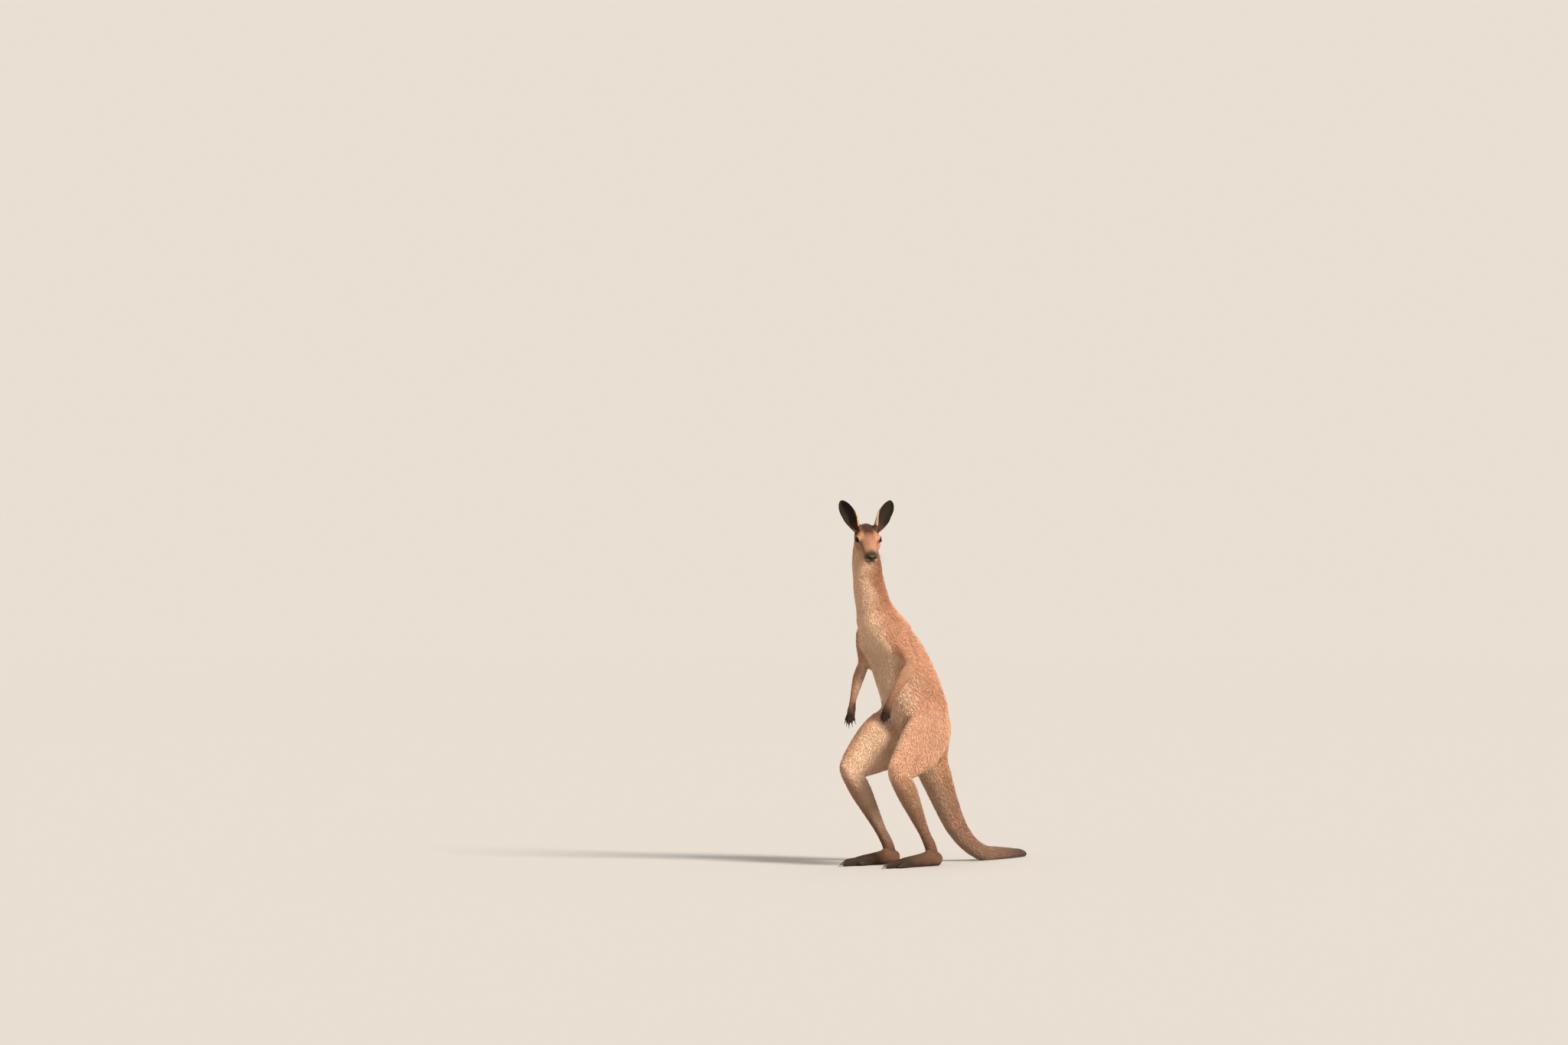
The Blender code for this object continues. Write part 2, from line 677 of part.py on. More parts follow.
def build():
    for obj in list(bpy.data.objects):
        bpy.data.objects.remove(obj)
    new_collection("grey kangaroo")
    new_collection("workshop").hide_render = True
    coat = material("fawn coat", (0.42, 0.27, 0.17), 0.9)
    dark_coat = material("dark brown coat", (0.10, 0.060, 0.038), 0.9)
    horn = material("dark horn", (0.030, 0.024, 0.020), 0.4)
    gloss = material("dark eye", (0.020, 0.011, 0.006), 0.08)
    leather = material("nose skin", (0.025, 0.020, 0.018), 0.5)
    build_body(coat)
    build_head(coat, dark_coat, gloss, leather)
    for name, side in SIDES.items():
        build_foot(name, side, dark_coat, horn)
        build_hand(name, side, dark_coat, horn)
    for helper in list(bpy.data.collections["workshop"].objects):
        bpy.data.objects.remove(helper)
    centre_on_floor()


build()
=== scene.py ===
# Grey kangaroo standing alert: skin, coat, eyes, nose, claws and a plain studio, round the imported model.
import math

import bmesh
import bpy
import numpy as np
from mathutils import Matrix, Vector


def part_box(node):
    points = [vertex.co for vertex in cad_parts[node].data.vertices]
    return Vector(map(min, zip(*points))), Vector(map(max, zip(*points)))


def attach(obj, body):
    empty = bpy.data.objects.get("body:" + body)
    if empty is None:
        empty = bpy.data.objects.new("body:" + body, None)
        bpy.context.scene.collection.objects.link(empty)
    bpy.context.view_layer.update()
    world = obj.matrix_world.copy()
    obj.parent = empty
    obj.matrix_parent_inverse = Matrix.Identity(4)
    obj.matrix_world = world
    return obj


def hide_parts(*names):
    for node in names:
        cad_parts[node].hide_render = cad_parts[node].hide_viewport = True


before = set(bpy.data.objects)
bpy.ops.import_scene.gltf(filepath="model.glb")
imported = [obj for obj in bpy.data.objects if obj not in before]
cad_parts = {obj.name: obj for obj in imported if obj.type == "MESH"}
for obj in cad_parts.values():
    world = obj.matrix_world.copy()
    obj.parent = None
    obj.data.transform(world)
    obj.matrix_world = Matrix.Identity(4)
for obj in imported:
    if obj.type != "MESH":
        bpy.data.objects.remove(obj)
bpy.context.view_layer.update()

draw = np.random.default_rng(20)
print("frame loaded:", len(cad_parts), "nodes")


# Small helpers: unit vectors, soft steps and bells, colours and smooth rows

def unit(v):
    return v / np.maximum(np.linalg.norm(v, axis=-1, keepdims=True), 1e-12)


def softStep(x, low, high):
    # 0 below low, 1 above high, and 3t^2 - 2t^3 between
    t = np.clip((x - low) / (high - low), 0, 1)
    return t * t * (3 - 2 * t)


def hump(x, middle, width):
    # a bell, exp(-((x - middle) / width)^2 / 2)
    return np.exp(-0.5 * ((x - middle) / width) ** 2)


def squareTo(v, other):
    # the unit vector nearest to v that stands square to the other
    return unit(v - (v * other).sum(axis=-1, keepdims=True) * other)


def tone(red, green, blue):
    # a colour as it looks, 0 to 255, to the linear values that shaders use
    c = np.array([red, green, blue]) / 255
    return np.where(c < 0.04045, c / 12.92, ((c + 0.055) / 1.055) ** 2.4)


def mixTo(base, colour, share):
    return base + (colour - base) * np.asarray(share)[..., None]


def smoothRows(knots, count):
    # a cubic curve through the knots, read at even steps of its length
    knots = np.asarray(knots, float)
    travel = np.concatenate([[0], np.cumsum(np.linalg.norm(np.diff(knots[:, :3], axis=0), axis=1))])
    slopes = np.gradient(knots, travel, axis=0)
    wanted = np.linspace(0, travel[-1], count)
    first = np.clip(np.searchsorted(travel, wanted, side="right") - 1, 0, len(travel) - 2)
    span = (travel[first + 1] - travel[first])[:, None]
    u = (wanted - travel[first])[:, None] / span
    return ((2 * u**3 - 3 * u**2 + 1) * knots[first] + (u**3 - 2 * u**2 + u) * span * slopes[first]
            + (3 * u**2 - 2 * u**3) * knots[first + 1] + (u**3 - u**2) * span * slopes[first + 1])


# Surfaces: every new piece is a grid of points that closes round its columns

def closedGrid(grid):
    # rings of a grid joined by quads, with a fan of triangles to one point at each end
    rings, sides = grid.shape[:2]
    j = np.arange(sides)
    k = (j + 1) % sides
    i = np.arange(rings - 1)[:, None] * sides
    quads = np.stack([i + j, i + k, i + sides + k, i + sides + j], axis=-1).reshape(-1, 4)
    last = (rings - 1) * sides
    start = np.stack([np.full(sides, rings * sides), k, j], axis=1)
    end = np.stack([np.full(sides, rings * sides + 1), last + j, last + k], axis=1)
    return capped(grid), quads.tolist() + start.tolist() + end.tolist()


def capped(grid):
    # a grid's values as rows, then the mean of its first ring and of its last
    return np.concatenate([grid.reshape(-1, 3), grid[:1].mean(axis=1), grid[-1:].mean(axis=1)])


def ringGrid(grid):
    # a grid that closes both ways, as a ring does
    rings, sides = grid.shape[:2]
    i, j = np.meshgrid(np.arange(rings), np.arange(sides), indexing="ij")
    quads = np.stack([i * sides + j, i * sides + (j + 1) % sides,
                      (i + 1) % rings * sides + (j + 1) % sides, (i + 1) % rings * sides + j], axis=-1)
    return grid.reshape(-1, 3), quads.reshape(-1, 4).tolist()


def tubeGrid(rows, upper, rings, sides, domes=(1.0, 1.0)):
    # an ellipse carried along a path: rows hold x, y, z, half width, half depth up and half depth down.
    # Each end closes with a dome, as long as its share of the end's radius.
    rows = smoothRows(rows, rings)
    centre, half = rows[:, :3], rows[:, 3:6]
    along = unit(np.gradient(centre, axis=0))
    rise = unit(upper - (along @ upper)[:, None] * along)
    side = np.cross(along, rise)
    bend = np.radians([20, 40, 58, 74, 85])
    order = [0] * len(bend) + list(range(rings)) + [rings - 1] * len(bend)
    shrink = np.concatenate([np.cos(bend)[::-1], np.ones(rings), np.cos(bend)])[:, None]
    reach = np.concatenate([-np.sin(bend)[::-1] * half[0].mean() * domes[0], np.zeros(rings),
                            np.sin(bend) * half[-1].mean() * domes[1]])[:, None]
    centre = centre[order] + along[order] * reach
    half, rise, side = half[order] * shrink, rise[order], side[order]
    turn = np.linspace(0, 2 * np.pi, sides, endpoint=False)
    depth = np.where(np.sin(turn) > 0, half[:, 1:2], half[:, 2:3]) * np.sin(turn)
    width = half[:, 0:1] * np.cos(turn)
    return centre[:, None] - side[:, None] * width[..., None] + rise[:, None] * depth[..., None]


def ballGrid(centre, radii, lean=0.0, rings=24, sides=32):
    # an ellipsoid: latitude by longitude, leant about the left-right axis
    latitude = np.linspace(-np.pi / 2, np.pi / 2, rings + 2)[1:-1, None]
    turn = np.linspace(0, 2 * np.pi, sides, endpoint=False)
    x, y = np.cos(latitude) * np.cos(turn), np.cos(latitude) * np.sin(turn)
    z = np.broadcast_to(np.sin(latitude), x.shape)
    x, y, z = x * radii[0], y * radii[1], z * radii[2]
    c, s = math.cos(lean), math.sin(lean)
    return np.stack([x, y * c - z * s, y * s + z * c], axis=-1) + centre


def newObject(name, points, faces, material=None):
    mesh = bpy.data.meshes.new(name)
    mesh.from_pydata(np.asarray(points).tolist(), [], faces)
    if material:
        mesh.materials.append(material)
    mesh.shade_smooth()
    return linked(name, mesh)


def linked(name, data):
    obj = bpy.data.objects.new(name, data)
    bpy.context.scene.collection.objects.link(obj)
    return obj


def readPoints(mesh, normals=False):
    flat = np.empty(len(mesh.vertices) * 3, np.float32)
    if normals:
        mesh.vertex_normals.foreach_get("vector", flat)
    else:
        mesh.vertices.foreach_get("co", flat)
    return flat.reshape(-1, 3).astype(float)


def writePoints(mesh, points):
    store(mesh.vertices, "co", points)
    mesh.update()


def store(data, key, values, kind=np.float32):
    data.foreach_set(key, np.ascontiguousarray(values, dtype=kind).ravel())


def readEdges(mesh):
    flat = np.empty(len(mesh.edges) * 2, np.int32)
    mesh.edges.foreach_get("vertices", flat)
    return flat.reshape(-1, 2)


def evened(values, edges, rounds, share=0.5):
    # each vertex moves by its share towards the mean of its neighbours, some rounds over
    count = len(values)
    share = np.broadcast_to(np.asarray(share, float).reshape(-1, 1), (count, 1))
    ends = np.concatenate([edges, edges[:, ::-1]])
    degree = np.maximum(np.bincount(ends[:, 0], minlength=count), 1)[:, None]
    for _ in range(rounds):
        total = np.stack([np.bincount(ends[:, 0], weights=values[ends[:, 1], c], minlength=count)
                          for c in range(values.shape[1])], axis=1)
        values = values + (total / degree - values) * share
    return values


# Where things are. The body's stations are measured to its left, forward and up from the middle of
# its heels, and the head's from the back of the skull, before it is turned and dropped.

pose = {
    "headLength": 0.192, "headTurn": math.radians(48), "headDrop": math.radians(27),
    "headLeft": 0.018, "headForward": 0.293, "headUp": 1.244,
    "eyeAhead": 0.430, "eyeUp": 0.0150, "eyeOut": 0.0335, "eyeRadius": 0.0145,
    "legSpread": 0.113, "footLead": 0.013, "handLift": 0.006,
}
headLength = pose["headLength"]
sides = {"left": 1, "right": -1}
forward, up = np.array([0.0, -1.0, 0.0]), np.array([0.0, 0.0, 1.0])


def headRotation():
    # columns: the head's left, its back and its crown, after the drop and then the turn
    ct, st = math.cos(pose["headTurn"]), math.sin(pose["headTurn"])
    cd, sd = math.cos(pose["headDrop"]), math.sin(pose["headDrop"])
    turn = np.array([[ct, -st, 0], [st, ct, 0], [0, 0, 1]])
    drop = np.array([[1, 0, 0], [0, cd, -sd], [0, sd, cd]])
    return turn @ drop


headAxes = headRotation()
eyeLocal = np.array([0, -pose["eyeAhead"] * headLength, pose["eyeUp"]])
eyeBoxes = [np.array(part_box(f"eye_{name}")) for name in sides]
headOrigin = np.mean([box.mean(axis=0) for box in eyeBoxes], axis=0) - headAxes @ eyeLocal
heels = headOrigin - np.array([pose["headLeft"], -pose["headForward"], pose["headUp"]])


def onBody(stations):
    # rows of (left, forward, height, three half sizes) into the row's frame
    rows = np.array(stations, float)
    rows[:, 1] *= -1
    rows[:, :3] += heels
    return rows


def toWorld(local):
    return local @ headAxes.T + headOrigin


def toHead(points):
    return (points - headOrigin) @ headAxes


def mirrored(stations, side, lead=0.0):
    rows = np.array(stations, float)
    rows[:, 0] *= side
    rows[:, 1] += lead * side * pose["footLead"]
    return rows


def alongHead(stations):
    # rows of (left, share of the head's length ahead, up, three half sizes) into the head's frame
    rows = np.array(stations, float)
    rows[:, 1] *= -headLength
    return rows


backRows = onBody([
    (0, -0.118, 0.385, 0.068, 0.062, 0.064),
    (0, -0.078, 0.465, 0.106, 0.110, 0.096),
    (0, -0.036, 0.570, 0.121, 0.130, 0.111),
    (0, 0.013, 0.670, 0.119, 0.128, 0.113),
    (0, 0.073, 0.765, 0.108, 0.116, 0.110),
    (0, 0.142, 0.850, 0.095, 0.100, 0.099),
    (0, 0.203, 0.925, 0.081, 0.086, 0.083),
])
neckRows = onBody([
    (0.000, 0.188, 0.900, 0.073, 0.082, 0.076),
    (0.001, 0.228, 0.978, 0.066, 0.072, 0.072),
    (0.004, 0.256, 1.050, 0.062, 0.064, 0.065),
    (0.010, 0.275, 1.120, 0.057, 0.057, 0.058),
    (0.014, 0.289, 1.185, 0.047, 0.048, 0.048),
    (0.016, 0.293, 1.228, 0.038, 0.038, 0.036),
])
tailRows = onBody([
    (0.000, -0.075, 0.430, 0.070, 0.068, 0.070),
    (0.000, -0.141, 0.338, 0.063, 0.062, 0.070),
    (-0.002, -0.201, 0.238, 0.052, 0.051, 0.058),
    (-0.005, -0.268, 0.142, 0.044, 0.043, 0.047),
    (-0.010, -0.351, 0.071, 0.037, 0.036, 0.038),
    (-0.018, -0.445, 0.033, 0.032, 0.031, 0.036),
    (-0.032, -0.560, 0.0245, 0.026, 0.026, 0.0275),
    (-0.054, -0.670, 0.0195, 0.021, 0.021, 0.0225),
    (-0.080, -0.755, 0.0155, 0.0165, 0.0165, 0.0185),
    (-0.096, -0.800, 0.0110, 0.0110, 0.0110, 0.0140),
])
skullRows = alongHead([
    (0, 0.01, 0.000, 0.0390, 0.0380, 0.0400),
    (0, 0.14, 0.001, 0.0455, 0.0420, 0.0450),
    (0, 0.28, 0.001, 0.0480, 0.0440, 0.0480),
    (0, 0.42, 0.000, 0.0425, 0.0415, 0.0465),
    (0, 0.55, -0.003, 0.0340, 0.0355, 0.0410),
    (0, 0.68, -0.006, 0.0280, 0.0295, 0.0345),
    (0, 0.81, -0.009, 0.0250, 0.0255, 0.0305),
    (0, 0.91, -0.010, 0.0230, 0.0225, 0.0270),
])
bridgeRows = alongHead([
    (0, 0.36, 0.0220, 0.0200, 0.0200, 0.0200),
    (0, 0.50, 0.0180, 0.0165, 0.0180, 0.0180),
    (0, 0.64, 0.0120, 0.0145, 0.0165, 0.0165),
    (0, 0.78, 0.0050, 0.0135, 0.0150, 0.0150),
    (0, 0.90, -0.0010, 0.0130, 0.0145, 0.0145),
])


def limbRows(side):
    # the stations of one side's limbs, from the root of each to its end
    spread, lift = pose["legSpread"], pose["handLift"] * side
    lead = pose["footLead"] * side

    def low(stations):
        return onBody([(side * (spread + out), ahead + lead, high, wide, above, high + 0.003)
                       for out, ahead, high, wide, above in stations])

    def hung(stations):
        return onBody([(side * out, ahead, high + share * lift, *half)
                       for out, ahead, high, share, *half in stations])

    thigh = mirrored([(0.077, -0.034, 0.508, 0.056, 0.110, 0.128),
                      (0.097, 0.060, 0.466, 0.060, 0.108, 0.126),
                      (0.116, 0.156, 0.407, 0.052, 0.080, 0.090),
                      (0.126, 0.228, 0.362, 0.038, 0.051, 0.051)], side)
    thigh[:, 1] += lead * np.array([0, 0.3, 0.7, 1])
    return {
        "thigh": onBody(thigh),
        "shin": onBody(mirrored([(0.125, 0.222, 0.352, 0.038, 0.042, 0.048),
                                 (0.122, 0.168, 0.276, 0.039, 0.036, 0.052),
                                 (0.118, 0.104, 0.192, 0.029, 0.027, 0.038),
                                 (0.115, 0.050, 0.120, 0.0205, 0.021, 0.027),
                                 (spread, 0.012, 0.068, 0.0205, 0.024, 0.026),
                                 (spread, 0.000, 0.045, 0.0200, 0.024, 0.024)], side, 1)),
        "instep": low([(0.000, -0.030, 0.026, 0.0170, 0.0240),
                       (0.000, 0.004, 0.036, 0.0215, 0.0280),
                       (0.000, 0.050, 0.031, 0.0195, 0.0230),
                       (0.000, 0.110, 0.026, 0.0200, 0.0195),
                       (0.001, 0.165, 0.022, 0.0235, 0.0165),
                       (0.001, 0.195, 0.019, 0.0200, 0.0140)]),
        "fourthToe": low([(0.001, 0.180, 0.0200, 0.0150, 0.0145),
                          (0.001, 0.220, 0.0185, 0.0125, 0.0130),
                          (0.001, 0.248, 0.0165, 0.0125, 0.0125),
                          (0.001, 0.262, 0.0150, 0.0105, 0.0105),
                          (0.001, 0.270, 0.0140, 0.0072, 0.0078)]),
        "fifthToe": low([(0.014, 0.155, 0.0170, 0.0095, 0.0110),
                         (0.023, 0.195, 0.0140, 0.0082, 0.0095),
                         (0.026, 0.214, 0.0125, 0.0075, 0.0082),
                         (0.026, 0.220, 0.0118, 0.0050, 0.0056)]),
        "smallToes": low([(-0.013, 0.140, 0.0150, 0.0080, 0.0100),
                          (-0.019, 0.180, 0.0130, 0.0072, 0.0090),
                          (-0.020, 0.196, 0.0120, 0.0070, 0.0080)]),
        "upperArm": hung([(0.070, 0.196, 0.872, 0, 0.030, 0.036, 0.038),
                          (0.093, 0.170, 0.824, 0, 0.029, 0.034, 0.036),
                          (0.109, 0.148, 0.776, 0, 0.024, 0.027, 0.028),
                          (0.114, 0.144, 0.752, 0, 0.022, 0.024, 0.025)]),
        "forearm": hung([(0.114, 0.140, 0.752, 0, 0.023, 0.024, 0.025),
                         (0.111, 0.172, 0.712, 0.4, 0.0235, 0.0225, 0.0245),
                         (0.101, 0.206, 0.664, 0.8, 0.0175, 0.0175, 0.0185),
                         (0.092, 0.232, 0.622, 1, 0.0140, 0.0125, 0.0130),
                         (0.089, 0.240, 0.604, 1, 0.0150, 0.0115, 0.0120)]),
        "palm": hung([(0.0890, 0.2385, 0.608, 1, 0.0145, 0.0115, 0.0120),
                      (0.0865, 0.2470, 0.588, 1, 0.0185, 0.0115, 0.0125),
                      (0.0850, 0.2530, 0.572, 1, 0.0185, 0.0095, 0.0105)]),
    }


def fingersOf(side):
    # root and tip of each finger, from the inner one outwards
    for number in range(5):
        fan = (number - 2) / 2
        root = np.array([side * (0.0848 + 0.0125 * fan), -0.2545 + 0.004 * abs(fan),
                         0.571 + pose["handLift"] * side + 0.004 * abs(fan)]) + heels
        along = unit(np.array([side * 0.34 * fan, -0.26, -0.95]))
        yield root, root + along * (0.034 - 0.009 * abs(fan) ** 1.5)


def fingerRows(root, tip):
    middle = (root + tip) / 2 + forward * 0.0018
    return np.array([[*root, *[0.0056] * 3], [*middle, *[0.0051] * 3], [*tip, *[0.0047] * 3]])


limbs = {name: limbRows(side) for name, side in sides.items()}


# The coat's plan. Each length of the body says which way its hair points along the stations, then, at
# its first station and its last, the coat's depth, the tufts' length, width and spacing in
# millimetres, and the colours of the outer side and of the inner or lower side.

coatTones = {name: tone(*rgb) for name, rgb in {
    "back": (230, 173, 138), "belly": (245, 211, 181), "chest": (250, 213, 179), "inner": (240, 203, 170),
    "nape": (210, 151, 117), "napeTop": (176, 118, 86), "throat": (244, 200, 164),
    "face": (197, 146, 114), "crown": (86, 45, 22), "brow": (188, 131, 92), "muzzle": (84, 56, 36),
    "lip": (190, 150, 120), "chin": (180, 138, 108), "lid": (34, 24, 18),
    "tail": (206, 156, 124), "tailUnder": (218, 175, 144), "tailTip": (64, 46, 34),
    "thigh": (222, 172, 139), "shin": (200, 153, 122), "foot": (122, 86, 62), "toe": (58, 42, 32),
    "arm": (214, 161, 127), "wrist": (140, 98, 70), "hand": (54, 38, 28),
    "ear": (39, 26, 14), "earEdge": (90, 61, 40), "earRoot": (78, 50, 31), "fringe": (214, 178, 142),
    "root": (124, 90, 68), "whisker": (44, 32, 25), "lash": (30, 22, 17),
}.items()}
coatPlan = {
    "back": (-1, (8.0, 27, 2.3, 3.8, "back", "belly"), (7.5, 25, 2.2, 3.6, "back", "chest")),
    "neck": (-1, (7.2, 24, 2.1, 3.5, "nape", "chest"), (3.9, 12, 1.4, 2.3, "napeTop", "throat")),
    "skull": (-1, (3.8, 12, 1.5, 2.4, "napeTop", "throat"), (0.8, 3.2, 0.66, 1.15, "face", "chin")),
    "tail": (1, (7.5, 25, 2.3, 3.9, "tail", "tailUnder"), (3.0, 12, 1.5, 2.4, "tailTip", "tailTip")),
    "thigh": (1, (8.0, 25, 2.3, 3.9, "thigh", "inner"), (5.5, 17, 2.0, 3.3, "thigh", "inner")),
    "shin": (1, (5.2, 16, 1.9, 3.2, "shin", "inner"), (2.6, 8.5, 1.3, 2.3, "foot", "foot")),
    "instep": (1, (2.4, 8.0, 1.25, 2.45, "foot", "toe"), (1.8, 6.0, 1.1, 2.15, "toe", "toe")),
    "fourthToe": (1, (1.7, 5.5, 1.0, 1.9, "toe", "toe"), (1.3, 4.5, 0.9, 1.7, "toe", "toe")),
    "fifthToe": (1, (1.6, 5.0, 1.0, 1.8, "toe", "toe"), (1.2, 4.2, 0.9, 1.7, "toe", "toe")),
    "smallToes": (1, (1.5, 4.6, 1.0, 1.8, "toe", "toe"), (1.2, 4.0, 0.9, 1.7, "toe", "toe")),
    "upperArm": (1, (7.0, 21, 2.2, 3.5, "arm", "inner"), (4.6, 14, 1.8, 2.9, "arm", "inner")),
    "forearm": (1, (4.2, 13, 1.7, 2.7, "arm", "inner"), (1.8, 6.5, 1.1, 1.9, "wrist", "wrist")),
    "palm": (1, (1.6, 5.5, 1.0, 1.8, "wrist", "hand"), (1.2, 4.4, 0.85, 1.6, "hand", "hand")),
    "finger": (1, (1.0, 4.0, 0.75, 1.4, "hand", "hand"), (0.8, 3.4, 0.7, 1.3, "hand", "hand")),
}
footParts = ("instep", "fourthToe", "fifthToe", "smallToes")
guides = []  # points, radii, lie, underside, the four sizes, two colours and the part's number


def addGuide(name, rows, underside):
    way, start, end = coatPlan[name]
    rows = smoothRows(rows, 14)
    t = np.linspace(0, 1, len(rows))[:, None]
    along = unit(np.gradient(rows[:, :3], axis=0))
    under = unit(underside - (along @ underside)[:, None] * along)
    sizes = (1 - t) * np.array(start[:4]) + t * np.array(end[:4])
    colours = [(1 - t) * coatTones[a] + t * coatTones[b] for a, b in zip(start[4:], end[4:])]
    number = np.full((len(rows), 1), list(coatPlan).index(name))
    guides.append(np.hstack([rows[:, :3], rows[:, 3:6].mean(axis=1, keepdims=True), along * way,
                             under, sizes * 0.001, *colours, number]))


skullWorld = np.hstack([toWorld(skullRows[:, :3]), skullRows[:, 3:6]])
addGuide("back", backRows, forward)
addGuide("neck", neckRows, forward)
addGuide("skull", skullWorld, -headAxes[:, 2])
addGuide("tail", tailRows, -up)
for name, side in sides.items():
    inward = np.array([-side, 0.0, 0.0])
    for part, rows in limbs[name].items():
        addGuide(part, rows, -up if part in footParts else inward)
    for root, tip in fingersOf(side):
        addGuide("finger", fingerRows(root, tip), inward)
guides = np.concatenate(guides)


# the columns that readGuides gives: lie 0-2, underside 3-5, depth, length, width and spacing 6-9,
# outer colour 10-12, under colour 13-15, shares of the parts, and the girth last
depthColumn = 6


def readGuides(points, power=9, batch=8000):
    # every column of the guides, weighted at each point by (radius / distance) ^ power
    parts = np.eye(len(coatPlan))[guides[:, -1].astype(int)]
    table = np.hstack([guides[:, 4:-1], parts, guides[:, 3:4]])
    found = np.empty((len(points), table.shape[1]))
    for start in range(0, len(points), batch):
        some = points[start:start + batch]
        distance = np.linalg.norm(some[:, None] - guides[None, :, :3], axis=2)
        weight = (guides[:, 3] / np.maximum(distance, 1e-5)) ** power
        weight /= weight.sum(axis=1, keepdims=True)
        found[start:start + batch] = weight @ table
    return found


# Skin, first as soft forms that melt together, a group at a time

def melt(name, forms, voxel, rounds):
    # one surface round all the forms, voxel by voxel, then evened a few rounds
    points, faces, count = [], [], 0
    for grid in forms:
        some, quads = closedGrid(grid)
        points.append(some)
        faces += [[v + count for v in face] for face in quads]
        count += len(some)
    obj = newObject(name, np.concatenate(points), faces)
    remesh = obj.modifiers.new("remesh", "REMESH")
    remesh.mode = "VOXEL"
    remesh.voxel_size = voxel
    soften = obj.modifiers.new("soften", "SMOOTH")
    soften.factor = 0.5
    soften.iterations = rounds
    return applied(obj)


def applied(obj):
    graph = bpy.context.evaluated_depsgraph_get()
    mesh = bpy.data.meshes.new_from_object(obj.evaluated_get(graph))
    obj.modifiers.clear()
    obj.data = mesh
    return obj


def thinned(obj, triangles):
    # fewer triangles where the form is plain
    obj.data.calc_loop_triangles()
    thin = obj.modifiers.new("thin", "DECIMATE")
    thin.ratio = min(1, triangles / len(obj.data.loop_triangles))
    return applied(obj)


def outwards(obj):
    # all normals of a closed form face out
    return edited(obj, lambda work: bmesh.ops.recalc_face_normals(work, faces=work.faces))


def edited(obj, change):
    work = bmesh.new()
    work.from_mesh(obj.data)
    change(work)
    work.to_mesh(obj.data)
    work.free()
    return obj


def pulledIn(obj, depth):
    # each point moves in along its normal by the depth of the coat there
    points, normals = readPoints(obj.data), readPoints(obj.data, normals=True)
    writePoints(obj.data, points - normals * depth(points)[:, None])
    return obj


def coatDepth(points):
    return readGuides(points)[:, depthColumn]


def necked(*girths):
    # the neck's stations, some of them slimmer where they hide inside their neighbour
    return np.array([[1, 1, 1, girth, girth, girth] for girth in girths])


def bodyForms():
    yield tubeGrid(backRows, forward, 60, 56)
    yield tubeGrid(neckRows[:5] * necked(1, 1, 1, 0.96, 0.85), forward, 50, 48)
    yield tubeGrid(tailRows, up, 90, 40, domes=(1, 1.3))
    for side in sides.values():
        yield ballGrid(heels + [side * 0.057, -0.168, 0.862], (0.037, 0.064, 0.088), math.radians(-30))
        yield ballGrid(heels + [side * 0.062, 0.055, 0.492], (0.055, 0.090, 0.100), math.radians(-25))
    for name in sides:
        rows = limbs[name]
        yield tubeGrid(rows["thigh"], up, 40, 48, domes=(0.9, 0.9))
        yield tubeGrid(rows["upperArm"], forward, 30, 32)


# Head, in its own frame: x to its left, -y to the nose and z to the crown

headShape = {  # lines are (share of the length ahead, height)
    "mouth": [(1.010, -0.0186), (0.975, -0.0222), (0.94, -0.0248), (0.88, -0.0268), (0.81, -0.0274),
              (0.75, -0.0264), (0.70, -0.0238)],
    "mouthDepth": 0.0022, "mouthWidth": 0.0012, "lipPeak": 0.0034, "lipPeakWidth": 0.0042, "lipRim": 0.0011,
    "cheekbone": 0.0022, "cheekLine": [(0.56, -0.006), (0.40, -0.009), (0.20, 0.004)],
    "tearFold": 0.0010, "tearLine": [(0.54, 0.010), (0.66, -0.004)],
    "temple": 0.0030, "philtrum": 0.0012,
    "stripe": [(0.52, 0.012), (0.70, -0.003), (0.90, -0.006)],
    "nose": (0.972, -0.0030),
}
headBalls = {  # share of the length ahead, height and distance out, then radii across, along and up
    "cheek": (0.35, -0.013, 0.0275, (0.0205, 0.042, 0.0275)),
    "brow": (0.39, 0.0255, 0.0298, (0.0148, 0.024, 0.0132)),
    "lip": (0.87, -0.021, 0.0118, (0.0132, 0.025, 0.0146)),
    "nostril": (0.945, -0.001, 0.0090, (0.0095, 0.012, 0.0095)),
    "earRoot": (0.12, 0.029, 0.0335, (0.0165, 0.019, 0.0150)),
    "earBase": (0.13, 0.014, 0.0300, (0.0165, 0.024, 0.0210)),
}


def headAt(share, height, out=0.0):
    return np.array([out, -share * headLength, height])


def headSpace(points):
    # places in the head's frame, then the share of its length ahead, the distance out and the height
    local = toHead(points)
    return local, -local[:, 1] / headLength, np.abs(local[:, 0]), local[:, 2]


def headForms():
    yield tubeGrid(skullRows, up, 60, 60, domes=(0.8, 0.66))
    yield ballGrid(headAt(0.85, -0.0338), (0.0152, 0.029, 0.0112))
    yield tubeGrid(bridgeRows, up, 40, 32)
    for side in sides.values():
        for ahead, high, out, radii in headBalls.values():
            yield ballGrid(headAt(ahead, high, side * out), radii)
    yield ballGrid(headAt(0.925, -0.0115), (0.0175, 0.0165, 0.0165))


def orbitForm(side):
    # a low swelling round the eye, square to its line of sight
    look, corner, rise = eyeAxes(side)
    ball = ballGrid(np.zeros(3), (0.0158, 0.0250, 0.0215))
    return eyeCentre(side) - look * 0.0042 + ball @ np.stack([look, corner, rise])


def pathDistance(x, y, path):
    # the least distance from each point to a line of short lengths
    best = np.full(len(x), 9.0)
    for (ax, ay), (bx, by) in zip(path[:-1], path[1:]):
        dx, dy = bx - ax, by - ay
        t = np.clip(((x - ax) * dx + (y - ay) * dy) / (dx * dx + dy * dy), 0, 1)
        best = np.minimum(best, np.hypot(x - ax - t * dx, y - ay - t * dy))
    return best


